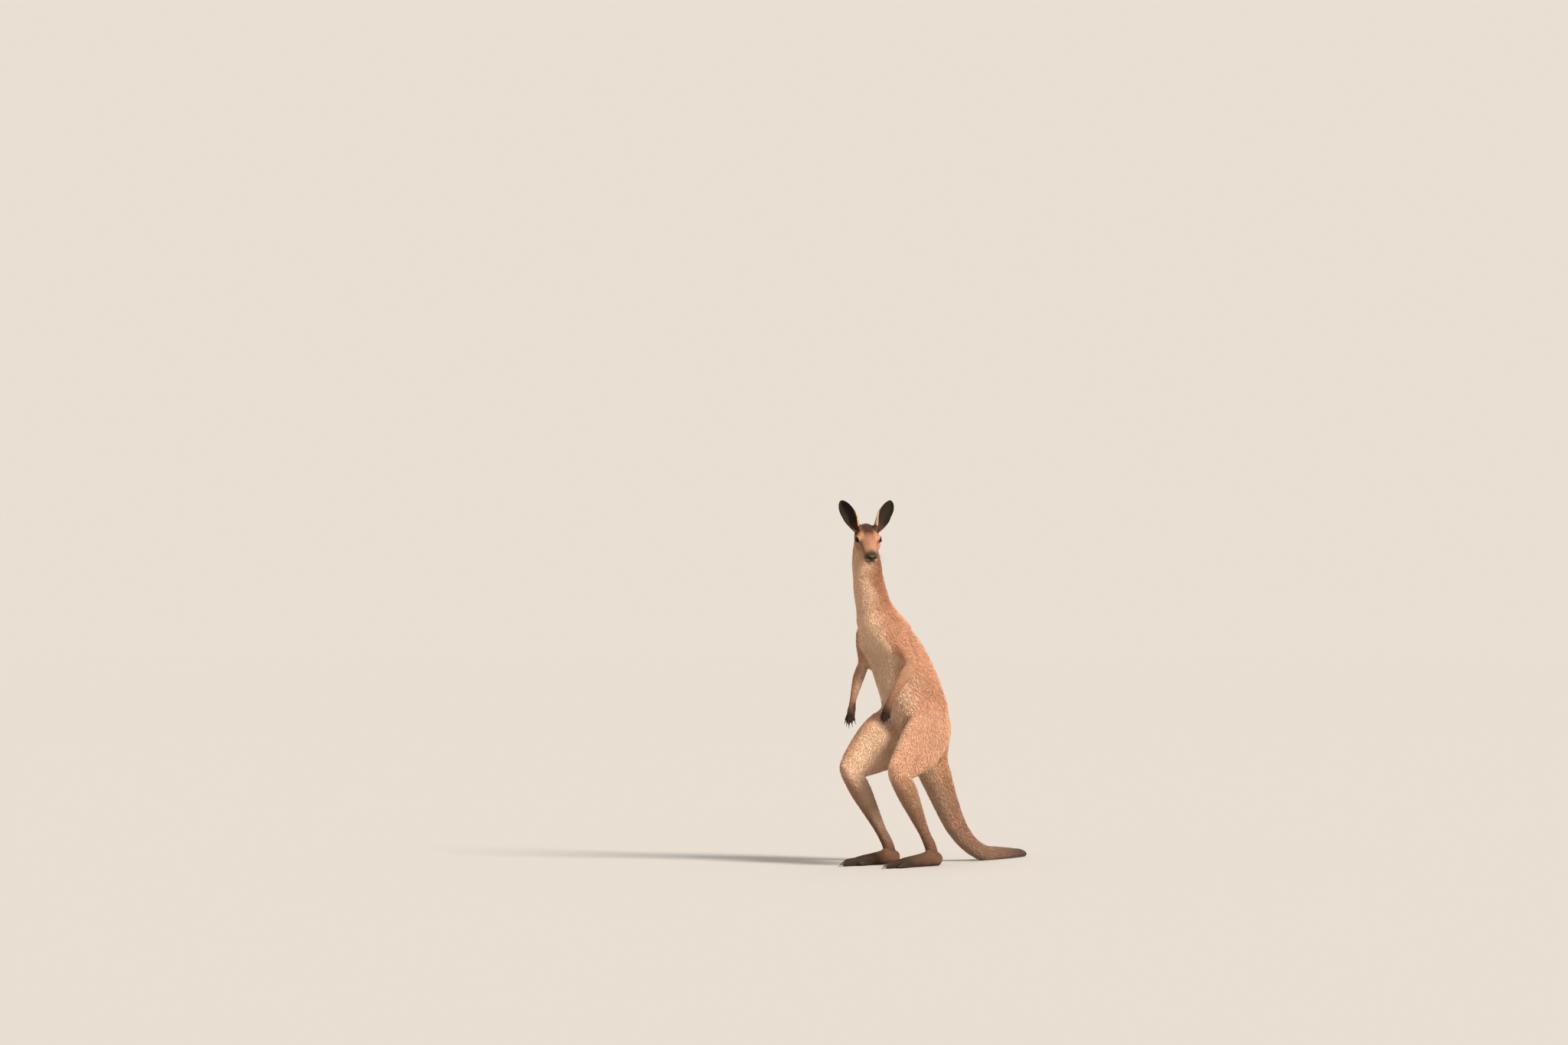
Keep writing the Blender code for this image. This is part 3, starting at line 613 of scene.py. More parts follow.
def sideDistance(ahead, high, name):
    # the same on the side of the head, to one of its shape's lines
    return pathDistance(ahead * headLength, high, [(a * headLength, h) for a, h in headShape[name]])


mouthPath = smoothRows([(a * headLength, h, 0) for a, h in headShape["mouth"]], 30)[:, :2]


def lipHeight(local):
    # heights as the mouth sees them: its line rises to a peak below the nose
    return local[:, 2] - headShape["lipPeak"] * hump(local[:, 0], 0, headShape["lipPeakWidth"])


def mouthDistance(local):
    return pathDistance(-local[:, 1], lipHeight(local), mouthPath)


def underMouth(local):
    return lipHeight(local) < np.interp(-local[:, 1], mouthPath[::-1, 0], mouthPath[::-1, 1])


def sculptHead(obj):
    # the head's small forms, as humps and hollows added along the normals
    local, ahead, out, high = headSpace(readPoints(obj.data))
    normal, mouth, shape = readPoints(obj.data, normals=True), mouthDistance(local), headShape
    front, outer = softStep(ahead, 0.68, 0.73), softStep(out, 0.018, 0.030)
    rise = -shape["mouthDepth"] * hump(mouth, 0, shape["mouthWidth"]) * front
    rise += shape["lipRim"] * hump(mouth, 0.0042, 0.0022) * front * np.where(underMouth(local), 0.6, 1)
    rise += shape["cheekbone"] * hump(sideDistance(ahead, high, "cheekLine"), 0, 0.006) * outer
    rise -= shape["temple"] * hump(ahead, 0.27, 0.06) * hump(high, 0.022, 0.009) * outer
    tear = sideDistance(ahead, high, "tearLine")
    rise -= shape["tearFold"] * hump(tear, 0, 0.0030) * softStep(out, 0.010, 0.020)
    middle = hump(local[:, 0], 0, 0.0012)
    rise -= shape["philtrum"] * middle * softStep(ahead, 0.96, 1.0) * softStep(-high, 0.012, 0.018)
    writePoints(obj.data, toWorld(local) + normal * rise[:, None])
    return obj


# Ears: a leaf whose sections are arcs, nearly closed at the root, with a thin wall

earShape = {
    "length": 0.118, "wall": 0.0017, "stem": (0.50, 0.54, 0.70), "mouth": (0.30, -0.80, 0.50),
    "root": (0.12, 0.030, 0.0355),  # share of the head ahead, height and distance out
    "narrow": 0.010, "swell": 0.0160, "rootTurn": 148, "tipTurn": 80, "bow": 0.009,
    "reach": 0.0045,  # skin as near as this to the leaf is the ear's
}


def earAxes(side):
    stem = unit(np.array(earShape["stem"]) * [side, 1, 1])
    mouth = np.array(earShape["mouth"]) * [side, 1, 1]
    mouth = unit(mouth - stem * (mouth @ stem))
    return stem, mouth, np.cross(stem, mouth)


def earSheet(side, rows, columns):
    # its half turn falls from the root to the middle; its radius swells and then closes like a leaf
    stem, mouth, breadth = earAxes(side)
    shape = earShape
    deep = np.linspace(-0.11, -0.02, 4)  # below the root, inside the head
    along = np.concatenate([deep, 1 - (1 - np.linspace(0, 1, rows - 4)) ** 1.5])[:, None]
    s = np.maximum(along, 0)
    radius = shape["narrow"] + shape["swell"] * np.sin(np.pi * np.minimum(1, 0.06 + 0.84 * s)) ** 0.8
    radius = radius * np.sqrt(np.maximum(0.0008, 1 - np.maximum(0, (s - 0.45) / 0.555) ** 4))
    fall = shape["rootTurn"] - shape["tipTurn"]
    swing = np.radians(shape["rootTurn"] - fall * np.minimum(1, 2 * s)) * np.linspace(-1, 1, columns)
    ahead, high, out = shape["root"]
    root = headAt(ahead, high, side * out)
    spine = root + stem * shape["length"] * along - mouth * shape["bow"] * np.sin(np.pi * s)
    arc = breadth * np.sin(swing)[..., None] + mouth * (1 - np.cos(swing))[..., None]
    return toWorld(spine[:, None] + radius[..., None] * arc), s


def sheetNormals(grid):
    return unit(np.cross(np.gradient(grid, axis=1), np.gradient(grid, axis=0)))


def earForm(name, side):
    # the sheet and its normals, thinner towards the edge and the tip, joined into one loop
    columns = 33
    grid, s = earSheet(side, 48, columns)
    normal = sheetNormals(grid)
    edge = np.abs(np.linspace(-1, 1, columns))
    wall = earShape["wall"] * (0.35 + 0.65 * (1 - edge**6)) * (1.5 - 0.9 * s)
    outer, inner = grid + normal * wall[..., None] / 2, grid - normal * wall[..., None] / 2
    loop = np.concatenate([outer, inner[:, ::-1]], axis=1)
    return outwards(newObject(name, *closedGrid(loop)))


# Lids: a ring of skin over each eye, between an almond opening and the socket

eyeShape = {  # angles in degrees from the line of sight
    "look": (0.86, -0.46, 0.16),  # outwards, forwards and up, in the head's frame
    "openAhead": 49, "openUp": 34, "openDown": 31, "pointed": 1.65, "slope": 14,
    "gap": 0.0004, "thick": 0.0014, "fold": 0.0007, "foldAt": 9, "foldWidth": 3.5,
    "lidEnd": 96.0, "lidSteps": 72,
}


def eyeAxes(side):
    # the line of sight, the way to the front corner and the way up the eye
    look = unit(np.array(eyeShape["look"]) * [side, 1, 1])
    rise = unit(up - look * look[2])
    ahead = np.cross(rise, look) * -side
    ahead = ahead if ahead[1] < 0 else -ahead
    slope = math.radians(eyeShape["slope"])
    corner = ahead * math.cos(slope) - rise * math.sin(slope)
    return headAxes @ look, headAxes @ corner, headAxes @ (rise * math.cos(slope) + ahead * math.sin(slope))


def eyeCentre(side):
    return toWorld(eyeLocal + np.array([side * pose["eyeOut"], 0, 0]))


def opening(turn):
    # how far from the line of sight the lids' edge lies, in degrees, for each turn round it
    shape = eyeShape
    tall = np.where(np.sin(turn) > 0, shape["openUp"], shape["openDown"])
    p = shape["pointed"]
    return (np.abs(np.cos(turn) / shape["openAhead"]) ** p + np.abs(np.sin(turn) / tall) ** p) ** (-1 / p)


def onEye(side, radius, away, turn):
    look, corner, rise = eyeAxes(side)
    a = np.radians(away)[..., None]
    round_ = corner * np.cos(turn)[..., None] + rise * np.sin(turn)[..., None]
    return eyeCentre(side) + np.asarray(radius)[..., None] * (look * np.cos(a) + round_ * np.sin(a))


def lidForm(name, side):
    # out over the front of the lid, round its edge and back along the eye
    shape, count, far = eyeShape, eyeShape["lidSteps"], eyeShape["lidEnd"]
    turn = np.linspace(0, 2 * np.pi, count, endpoint=False)
    rim = opening(turn)
    inner, thick = pose["eyeRadius"] + shape["gap"], shape["thick"]
    rings = []
    for t in np.linspace(1, 0, 14):
        away = rim + (far - rim) * t
        fold = hump(away - rim, shape["foldAt"], shape["foldWidth"]) * np.where(np.sin(turn) > 0, 1.4, 0.6)
        rings.append((inner + (thick + shape["fold"] * fold) * (1 - 0.55 * t), away))
    for bend in (30, 60, 90, 120, 150):
        b = math.radians(bend)
        rings.append((inner + thick * (0.5 + 0.5 * math.cos(b)), rim - 3.0 * math.sin(b)))
    for t in np.linspace(0, 1, 10):
        rings.append((np.full(count, inner), rim + (far - rim) * t))
    grid = np.stack([onEye(side, radius, away, turn) for radius, away in rings])
    return outwards(newObject(name, *ringGrid(grid)))


def softened(obj, rounds, share):
    points = readPoints(obj.data)
    writePoints(obj.data, evened(points, readEdges(obj.data), rounds, share(points)))
    return obj


def trunkShare(points):
    # thick parts are evened most
    girth = readGuides(points)[:, -1]
    return 0.5 * softStep(girth, 0.022, 0.070)


def skullShare(points):
    return 0.5 * (1 - softStep(headSpace(points)[1], 0.50, 0.72))


seams = {"neck": 0.10, "shin": 0.070, "forearm": 0.040, "ear": 0.034}  # how far each join is evened


def seamShare(points):
    # round each join of the groups, but not on the lids' edges
    zones = [(neckRows[2:4, :3].mean(axis=0), seams["neck"])]
    for name, side in sides.items():
        zones += [(limbs[name][part][0, :3], seams[part]) for part in ("shin", "forearm")]
        zones.append((toWorld(headAt(0.12, 0.028, side * 0.036)), seams["ear"]))
    share = np.zeros(len(points))
    for centre, reach in zones:
        away = np.linalg.norm(points - centre, axis=1)
        share = np.maximum(share, 0.5 * (1 - softStep(away, 0.6 * reach, reach)))
    for side in sides.values():
        beyond, distance = beyondRim(points, side)
        round_ = softStep(beyond, 8, 20) * (1 - softStep(distance, 0.022, 0.028))
        share = np.maximum(share, 0.5 * round_)
    ears = earNearest(points)
    return share * (1 - ears["on"] * softStep(ears["s"], 0.02, 0.10))


def beyondRim(points, side):
    # how many degrees each point lies outside the lids' edge, and its distance from the eye's middle
    look, corner, rise = eyeAxes(side)
    ray = points - eyeCentre(side)
    distance = np.linalg.norm(ray, axis=1)
    away = np.degrees(np.arccos(np.clip(ray @ look / np.maximum(distance, 1e-9), -1, 1)))
    return away - opening(np.arctan2(ray @ rise, ray @ corner)), distance


def earNearest(points, rows=40, columns=25, batch=4000):
    # for points near an ear: how far along it, how far across, which face they are on, and its stem
    found = {key: np.zeros(len(points)) for key in ("on", "s", "across", "outer")}
    found["stem"] = np.zeros((len(points), 3))
    for side in sides.values():
        sheet, s = earSheet(side, rows, columns)
        flat, normal = sheet.reshape(-1, 3), sheetNormals(sheet).reshape(-1, 3)
        stem = unit(np.gradient(sheet, axis=0)).reshape(-1, 3)
        s, across = np.repeat(s.ravel(), columns), np.tile(np.linspace(-1, 1, columns) * side, rows)
        low, high = flat.min(axis=0) - 0.006, flat.max(axis=0) + 0.006
        near = np.flatnonzero(((points > low) & (points < high)).all(axis=1))
        for some in np.array_split(near, max(1, len(near) // batch)):
            distance = np.linalg.norm(points[some][:, None] - flat[None], axis=2)
            best = distance.argmin(axis=1)
            close = distance[np.arange(len(some)), best] < earShape["reach"]
            some, best = some[close], best[close]
            found["on"][some] = 1
            found["s"][some], found["across"][some], found["stem"][some] = s[best], across[best], stem[best]
            found["outer"][some] = ((points[some] - flat[best]) * normal[best]).sum(axis=1) > 0
    return found


def largestIsland(obj):
    # keeps the one body, without crumbs: labels spread along the edges until they settle
    edges = readEdges(obj.data)
    label = np.arange(len(obj.data.vertices))
    while True:
        before = label.copy()
        np.minimum.at(label, edges[:, 0], label[edges[:, 1]])
        np.minimum.at(label, edges[:, 1], label[edges[:, 0]])
        label = label[label]
        if (label == before).all():
            break
    crumb = label != np.bincount(label).argmax()

    def clean(work):
        crumbs = [v for v, off in zip(list(work.verts), crumb) if off]
        bmesh.ops.delete(work, geom=crumbs, context="VERTS")
        bmesh.ops.triangulate(work, faces=work.faces)

    print("  crumbs removed:", crumb.sum(), "points")
    return edited(obj, clean)


# Muscles and hollows: lines through the body (left, forward and up from the heels), a width and a rise

bodyRelief = {
    "shoulderBlade": ([(0.085, 0.178, 0.850), (0.070, 0.120, 0.885), (0.045, 0.080, 0.905)], 0.014, 0.0050),
    "behindShoulder": ([(0.100, 0.118, 0.835), (0.112, 0.090, 0.770)], 0.016, -0.0050),
    "ribs": ([(0.085, 0.170, 0.770), (0.112, 0.090, 0.710), (0.120, 0.020, 0.690)], 0.018, 0.0035),
    "flank": ([(0.118, 0.085, 0.640), (0.126, 0.030, 0.615), (0.118, -0.020, 0.610)], 0.026, -0.0095),
    "hip": ([(0.095, -0.075, 0.600), (0.120, -0.040, 0.560)], 0.020, 0.0040),
    "thighFront": ([(0.140, 0.070, 0.560), (0.160, 0.150, 0.475), (0.155, 0.210, 0.405)], 0.020, 0.0030),
    "thighGroove": ([(0.155, 0.020, 0.500), (0.165, 0.110, 0.425), (0.160, 0.185, 0.370)], 0.012, -0.0065),
    "hamstring": ([(0.140, -0.030, 0.440), (0.155, 0.060, 0.375), (0.150, 0.140, 0.335)], 0.018, 0.0028),
    "rumpGroove": ([(0.075, -0.110, 0.470), (0.095, -0.060, 0.400)], 0.016, -0.0060),
}
shinRelief = {
    "outerHollow": ([(0.150, 0.135, 0.262), (0.142, 0.085, 0.190), (0.133, 0.030, 0.115)], 0.0065, -0.0032),
    "innerHollow": ([(0.092, 0.135, 0.262), (0.096, 0.085, 0.190), (0.098, 0.030, 0.115)], 0.0065, -0.0028),
    "ankle": ([(0.136, 0.004, 0.052), (0.136, 0.010, 0.046)], 0.0070, 0.0018),
}


def lineDistance(points, line):
    # the least distance from each point to a line of straight lengths
    best = np.full(len(points), 9.0)
    for a, b in zip(line[:-1], line[1:]):
        t = np.clip((points - a) @ (b - a) / ((b - a) @ (b - a)), 0, 1)[:, None]
        best = np.minimum(best, np.linalg.norm(points - a - t * (b - a), axis=1))
    return best


def modelled(obj, relief):
    # each point rises along its normal by a bell of its distance from each line
    points, rise = readPoints(obj.data), 0
    for line, width, height in relief.values():
        for side in sides.values():
            placed = heels + np.array(line) * [side, -1, 1]
            rise = rise + height * hump(lineDistance(points, placed), 0, width)
    writePoints(obj.data, points + readPoints(obj.data, normals=True) * rise[:, None])
    return obj


buildSizes = {  # size of the grid, rounds of evening and triangles kept
    "trunk": (0.0056, 7, 46000), "head": (0.0016, 9, 66000), "leg": (0.0028, 11, 17000),
    "hand": (0.0015, 4, 12000),
}


def buildSkin():
    voxel, rounds, kept = buildSizes["trunk"]
    body = modelled(softened(melt("skin", bodyForms(), voxel, rounds), 40, trunkShare), bodyRelief)
    thinned(pulledIn(body, coatDepth), kept)
    print("body melted:", len(body.data.polygons), "faces")
    voxel, rounds, kept = buildSizes["head"]
    heads = [toWorld(grid) for grid in headForms()] + [orbitForm(side) for side in sides.values()]
    heads.append(tubeGrid(neckRows[2:] * necked(0.90, 1, 1, 1), forward, 40, 48, domes=(0.2, 1)))
    head = softened(melt("headForm", heads, voxel, rounds), 26, skullShare)
    thinned(sculptHead(pulledIn(head, coatDepth)), kept)
    print("head melted:", len(head.data.polygons), "faces")
    more, sockets, lids = [head], [], []
    for name, side in sides.items():
        rows = limbs[name]
        voxel, rounds, kept = buildSizes["leg"]
        foot = [tubeGrid(rows["instep"], up, 50, 36)]
        foot += [tubeGrid(rows[toe], up, 20, 28, domes=(1, 0.8)) for toe in footParts[1:]]
        foot.append(tubeGrid(rows["shin"], forward, 60, 40))
        leg = modelled(melt("legForm", foot, voxel, rounds), shinRelief)
        more.append(thinned(pulledIn(leg, coatDepth), kept))
        voxel, rounds, kept = buildSizes["hand"]
        hand = [tubeGrid(rows["palm"], forward, 20, 32), tubeGrid(rows["forearm"], forward, 40, 32)]
        hand += [tubeGrid(fingerRows(*ends), forward, 16, 20) for ends in fingersOf(side)]
        more.append(thinned(pulledIn(melt("armForm", hand, voxel, rounds), coatDepth), kept))
        more.append(earForm("earForm", side))
    for side in sides.values():
        ball = ballGrid(np.zeros(3), [pose["eyeRadius"] + 0.0005] * 3, 0, 40, 56) + eyeCentre(side)
        sockets.append(outwards(newObject("socket", *closedGrid(ball))))
        lids.append(lidForm("lidForm", side))
    for tools, operation in ((more, "UNION"), (sockets, "DIFFERENCE"), (lids, "UNION")):
        for tool in tools:
            join = body.modifiers.new("join", "BOOLEAN")
            join.operation, join.solver, join.object = operation, "MANIFOLD", tool
            applied(body)
            bpy.data.objects.remove(tool)
    softened(largestIsland(body), 14, seamShare)
    points = readPoints(body.data)
    points[:, 2] = np.maximum(points[:, 2], 0.0004)  # the soles and the end of the tail lie flat
    writePoints(body.data, points)
    body.data.materials.clear()
    body.data.shade_smooth()
    print("skin joined:", len(body.data.polygons), "triangles")
    return body


skin = buildSkin()


# What the skin and the coat share: at each point of the skin, the lie, the sizes and the colours

def headMarks(points, base):
    # crown, face, ear roots, brows, muzzle and lips, laid one after another over the head's colours
    local, ahead, out, high = headSpace(points)
    near = softStep(ahead, -0.26, 0.02) * softStep(0.13 - np.linalg.norm(local * [1, 0, 1], axis=1), 0, 0.03)
    top = np.interp(ahead, [0, 0.3, 0.42, 0.55, 0.7, 0.91], [0.038, 0.044, 0.041, 0.034, 0.024, 0.013])
    root = np.linalg.norm(local * [0, 1, 1] - headAt(0.16, 0.025), axis=1)
    brow = hump(ahead, 0.40, 0.085) * hump(high, 0.0345, 0.0075) * softStep(out, 0.016, 0.025)
    underEye = hump(ahead, 0.47, 0.10) * hump(high, -0.004, 0.0085) * softStep(out, 0.02, 0.03)
    mouth, stripe = mouthDistance(local), sideDistance(ahead, high, "stripe")
    marks = [
        ("crown", softStep(high / top, 0.55, 0.95) * (1 - softStep(ahead, 0.34, 0.60))),
        ("face", 0.8 * softStep(ahead, 0.30, 0.46) * softStep(out, 0.012, 0.026)
         * softStep(high, -0.030, -0.005)),
        ("earRoot", (1 - softStep(root, 0.017, 0.032)) * softStep(out, 0.011, 0.020)),
        ("brow", np.minimum(1, 1.45 * brow)),
        ("brow", 0.55 * underEye),
        ("muzzle", 0.60 * hump(stripe, 0, 0.0055) * softStep(out, 0.008, 0.014)),
        ("muzzle", 0.92 * softStep(ahead, 0.80, 0.93) * softStep(high, -0.026, -0.016)),
        ("lip", hump(mouth, 0.0035, 0.0030) * softStep(ahead, 0.69, 0.76)
         * np.where(underMouth(local), 0.35, 0.85)),
        ("lid", mouthSlit(mouth, ahead, 0.0011)),
    ]
    for name, share in marks:
        base = mixTo(base, coatTones[name], near * share)
    return base


def mouthSlit(mouth, ahead, width):
    return hump(mouth, 0, width) * softStep(ahead, 0.68, 0.72)


skinHairs = {  # depth, length, width and spacing in millimetres
    "earBack": (0.9, 5.8, 1.1, 1.7), "earFront": (1.2, 7.0, 0.8, 2.1), "lids": (0.7, 3.0, 0.8, 1.2),
    "earRoots": (3.0, 10.5, 1.4, 2.0),
}


def hairsOf(name):
    return np.array([skinHairs[name]]) * 0.001


def skinTable(obj):
    mesh = obj.data
    points, normals, edges = readPoints(mesh), readPoints(mesh, normals=True), readEdges(mesh)
    read = readGuides(points)
    lie, under, sizes = read[:, :3], read[:, 3:6], read[:, 6:10]
    outer, inner, parts = read[:, 10:13], read[:, 13:16], read[:, 16:-1]
    trunk = parts[:, [0, 1, 4]].sum(axis=1, keepdims=True)
    lie = unit(lie) + trunk * np.array([0, 0.25, -0.35])  # on the trunk and thighs it hangs a little

    # the under side is paler, with a broken edge
    facing = (normals * unit(under)).sum(axis=1)
    wander = 0.10 * np.sin(points @ [61.0, 23.0, 47.0]) + 0.07 * np.sin(points @ [-131.0, 97.0, 88.0] + 1.3)
    colour = headMarks(points, mixTo(outer, inner, softStep(facing + wander, 0.08, 0.98)))
    patch = np.sin(points @ [33.0, -21.0, 27.0] + 0.4) * np.sin(points @ [-19.0, 41.0, 12.0] + 2.0)
    colour = colour * (1 + 0.07 * patch[:, None])

    # ears: dark, with pale long hair along the inner edge near the root
    ear = earNearest(points)
    on = ear["on"][:, None] * softStep(ear["s"], 0.0, 0.07)[:, None]
    back = ear["outer"] > 0.5
    medial = softStep(-ear["across"], 0.35, 0.80)
    low = 1 - softStep(ear["s"], 0.30, 0.55)
    earColour = mixTo(np.broadcast_to(coatTones["ear"], points.shape), coatTones["earEdge"],
                      (1 - ear["outer"]) * 0.5 * softStep(np.abs(ear["across"]), 0.7, 0.95))
    earColour = mixTo(earColour, coatTones["fringe"], medial * low * np.where(back, 0.35, 0.95))
    earColour = mixTo(earColour, coatTones["earRoot"], (1 - softStep(ear["s"], 0.05, 0.30)) * (1 - medial))
    colour = colour + (earColour - colour) * on
    lie = lie + (ear["stem"] - lie) * on
    hairs = np.where(back[:, None], hairsOf("earBack"), hairsOf("earFront"))
    hairs = hairs * (1 - 0.45 * softStep(ear["s"], 0.92, 1.0))[:, None] ** [[1, 1, 0, 0]]
    sizes = sizes + (hairs - sizes) * on

    # lids: dark bare edges, with the smallest hairs round them
    bare = np.zeros(len(points))
    for side in sides.values():
        beyond, distance = beyondRim(points, side)
        ring = 1 - softStep(distance, 0.0175, 0.0195)
        bare = np.maximum(bare, ring * (1 - softStep(beyond, 1.5, 4.0)))
        colour = mixTo(colour, coatTones["lid"], ring * (1 - softStep(beyond, 2.5, 7)))
        small = (1 - softStep(distance, 0.0185, 0.0290))[:, None] * (1 - ear["on"][:, None])
        sizes = sizes + (hairsOf("lids") - sizes) * small

    # bare too: the slit of the mouth, the skin under the nose and the soles
    local, ahead, out = headSpace(points)[:3]
    slit = mouthSlit(mouthDistance(local), ahead, 0.0010)
    pad = np.linalg.norm((local - headAt(*headShape["nose"])) / [0.0150, 0.0150, 0.0112], axis=1)
    colour = mixTo(colour, coatTones["lid"], 0.85 * (1 - softStep(pad, 1.02, 1.45)))
    soles = (points[:, 2] < 0.0012) & (normals[:, 2] < -0.6)
    bare = np.maximum.reduce([bare, slit > 0.5, 1 - softStep(pad, 0.92, 1.0), soles])

    # longer, closer hair round the roots of the ears
    root = np.linalg.norm(local * [0, 1, 1] - headAt(0.12, 0.024), axis=1)
    full = (1 - softStep(root, 0.018, 0.032)) * softStep(out, 0.020, 0.030) * (ahead > -0.05) * (1 - on[:, 0])
    sizes = sizes + (hairsOf("earRoots") - sizes) * full[:, None]

    for _ in range(4):  # even the lie over the surface
        lie = evened(squareTo(lie, normals), edges, 3)
    lie = squareTo(lie, normals)
    bend = surfaceBend(points, normals, lie, edges)
    bend *= np.where(bend < 0, 1 - 0.85 * np.maximum(on, full[:, None]), 1)  # hairs stand clear of thin rims
    return dict(points=points, normals=normals, lie=lie, bend=bend, sizes=evened(sizes, edges, 2),
                colour=np.clip(colour, 0.004, 1), bare=bare[:, None], parts=parts, ear=ear["on"][:, None])


def surfaceBend(points, normals, lie, edges):
    # bend of the surface along the lie: for each neighbour, twice its rise over its distance squared
    step = points[edges[:, 1]] - points[edges[:, 0]]
    size2 = np.maximum((step**2).sum(axis=1), 1e-10)
    total, weight = np.zeros(len(points)), np.full(len(points), 1e-9)
    for at, sign in ((edges[:, 0], 1.0), (edges[:, 1], -1.0)):
        aligned = ((step * lie[at]).sum(axis=1) ** 2 / size2) ** 2
        rise = (step * normals[at]).sum(axis=1)
        total += np.bincount(at, weights=aligned * sign * 2 * rise / size2, minlength=len(points))
        weight += np.bincount(at, weights=aligned, minlength=len(points))
    return evened((total / weight)[:, None], edges, 4)


def paint(mesh, name, colours):
    layer = mesh.color_attributes.new(name=name, type="FLOAT_COLOR", domain="POINT")
    store(layer.data, "color", np.concatenate([colours, np.ones((len(colours), 1))], axis=1))


def unwrapped(obj):
    # the skin's own shape laid flat; gives each triangle's three places on it
    bpy.ops.object.select_all(action="DESELECT")
    obj.select_set(True)
    bpy.context.view_layer.objects.active = obj
    bpy.ops.object.mode_set(mode="EDIT")
    bpy.ops.mesh.select_all(action="SELECT")
    bpy.ops.uv.smart_project(angle_limit=math.radians(80), island_margin=0.002)
    bpy.ops.object.mode_set(mode="OBJECT")
    layer = obj.data.uv_layers.active
    flat = np.empty(len(obj.data.loops) * 2, np.float32)
    layer.uv.foreach_get("vector", flat)
    obj.data.uv_layers.remove(layer)
    return flat.reshape(-1, 3, 2).astype(float)


table = skinTable(skin)
paint(skin.data, "coatColour", mixTo(table["colour"] * 0.92, coatTones["lid"], table["bare"][:, 0] * 0.8))
store(skin.data.attributes.new("lie", "FLOAT_VECTOR", "POINT").data, "vector", table["lie"])
triangles = np.empty(len(skin.data.polygons) * 3, np.int32)
skin.data.polygons.foreach_get("vertices", triangles)
triangles = triangles.reshape(-1, 3)
skinPlaces = unwrapped(skin)
print("skin painted and unwrapped")


# Tufts. Each is a thin three-sided lock: it leaves the skin at its root, rises towards the coat's
# depth, lies along the body and follows the bend of the surface, narrowing to a point.

tuftShape = {
    "turned": 11.0,  # degrees either way from the lie
    "shorter": 0.30,  # share of the length that may be missing
    "curl": 0.16,  # sideways curl, as a share of the length
    "flat": 0.34,  # thickness as a share of the width
    "lifted": (0.22, 0.84),  # height at the tip, as shares of the coat's depth
    "sunk": 0.35,  # how deep the root starts, as a share of the width
    "creased": 0.45,  # share of the length lost in a crease
    "bent": (-1.1, 0.35),  # least and most bend along one tuft
    "fat": ([0, 0.3, 0.7, 1.0], [0.75, 1.0, 0.66, 0.0]),  # share of the width along the tuft
    "shade": ([0, 0.35, 0.75, 1.0], [0.82, 0.95, 1.05, 1.0]),  # dark root, paler band before the tip
    "rooted": 0.25,  # share of the root's own colour
    "own": 0.08, "warm": 0.025,  # how far one tuft's depth and warmth of colour stray
    "grain": 0.12,  # the strands' pattern along the tuft, as a share of that across it
    "steps": {2: [0.0, 0.52, 1.0], 3: [0.0, 0.30, 0.68, 1.0], 5: [0.0, 0.18, 0.38, 0.60, 0.82, 1.0]},
    "patch": 0.003,  # size of each tuft's patch on the map
    "share": 1.0,
}


def tuftFaces(rings):
    # rings of three corners joined side by side, closed at the root and drawn to a point
    faces = [(0, 1, 2)]
    for r in range(rings - 1):
        for k in range(3):
            a, b = r * 3 + k, r * 3 + (k + 1) % 3
            faces += [(a, b + 3, b), (a, a + 3, b + 3)]
    tip = rings * 3
    return np.array(faces + [(tip - 3 + k, tip, tip - 3 + (k + 1) % 3) for k in range(3)])


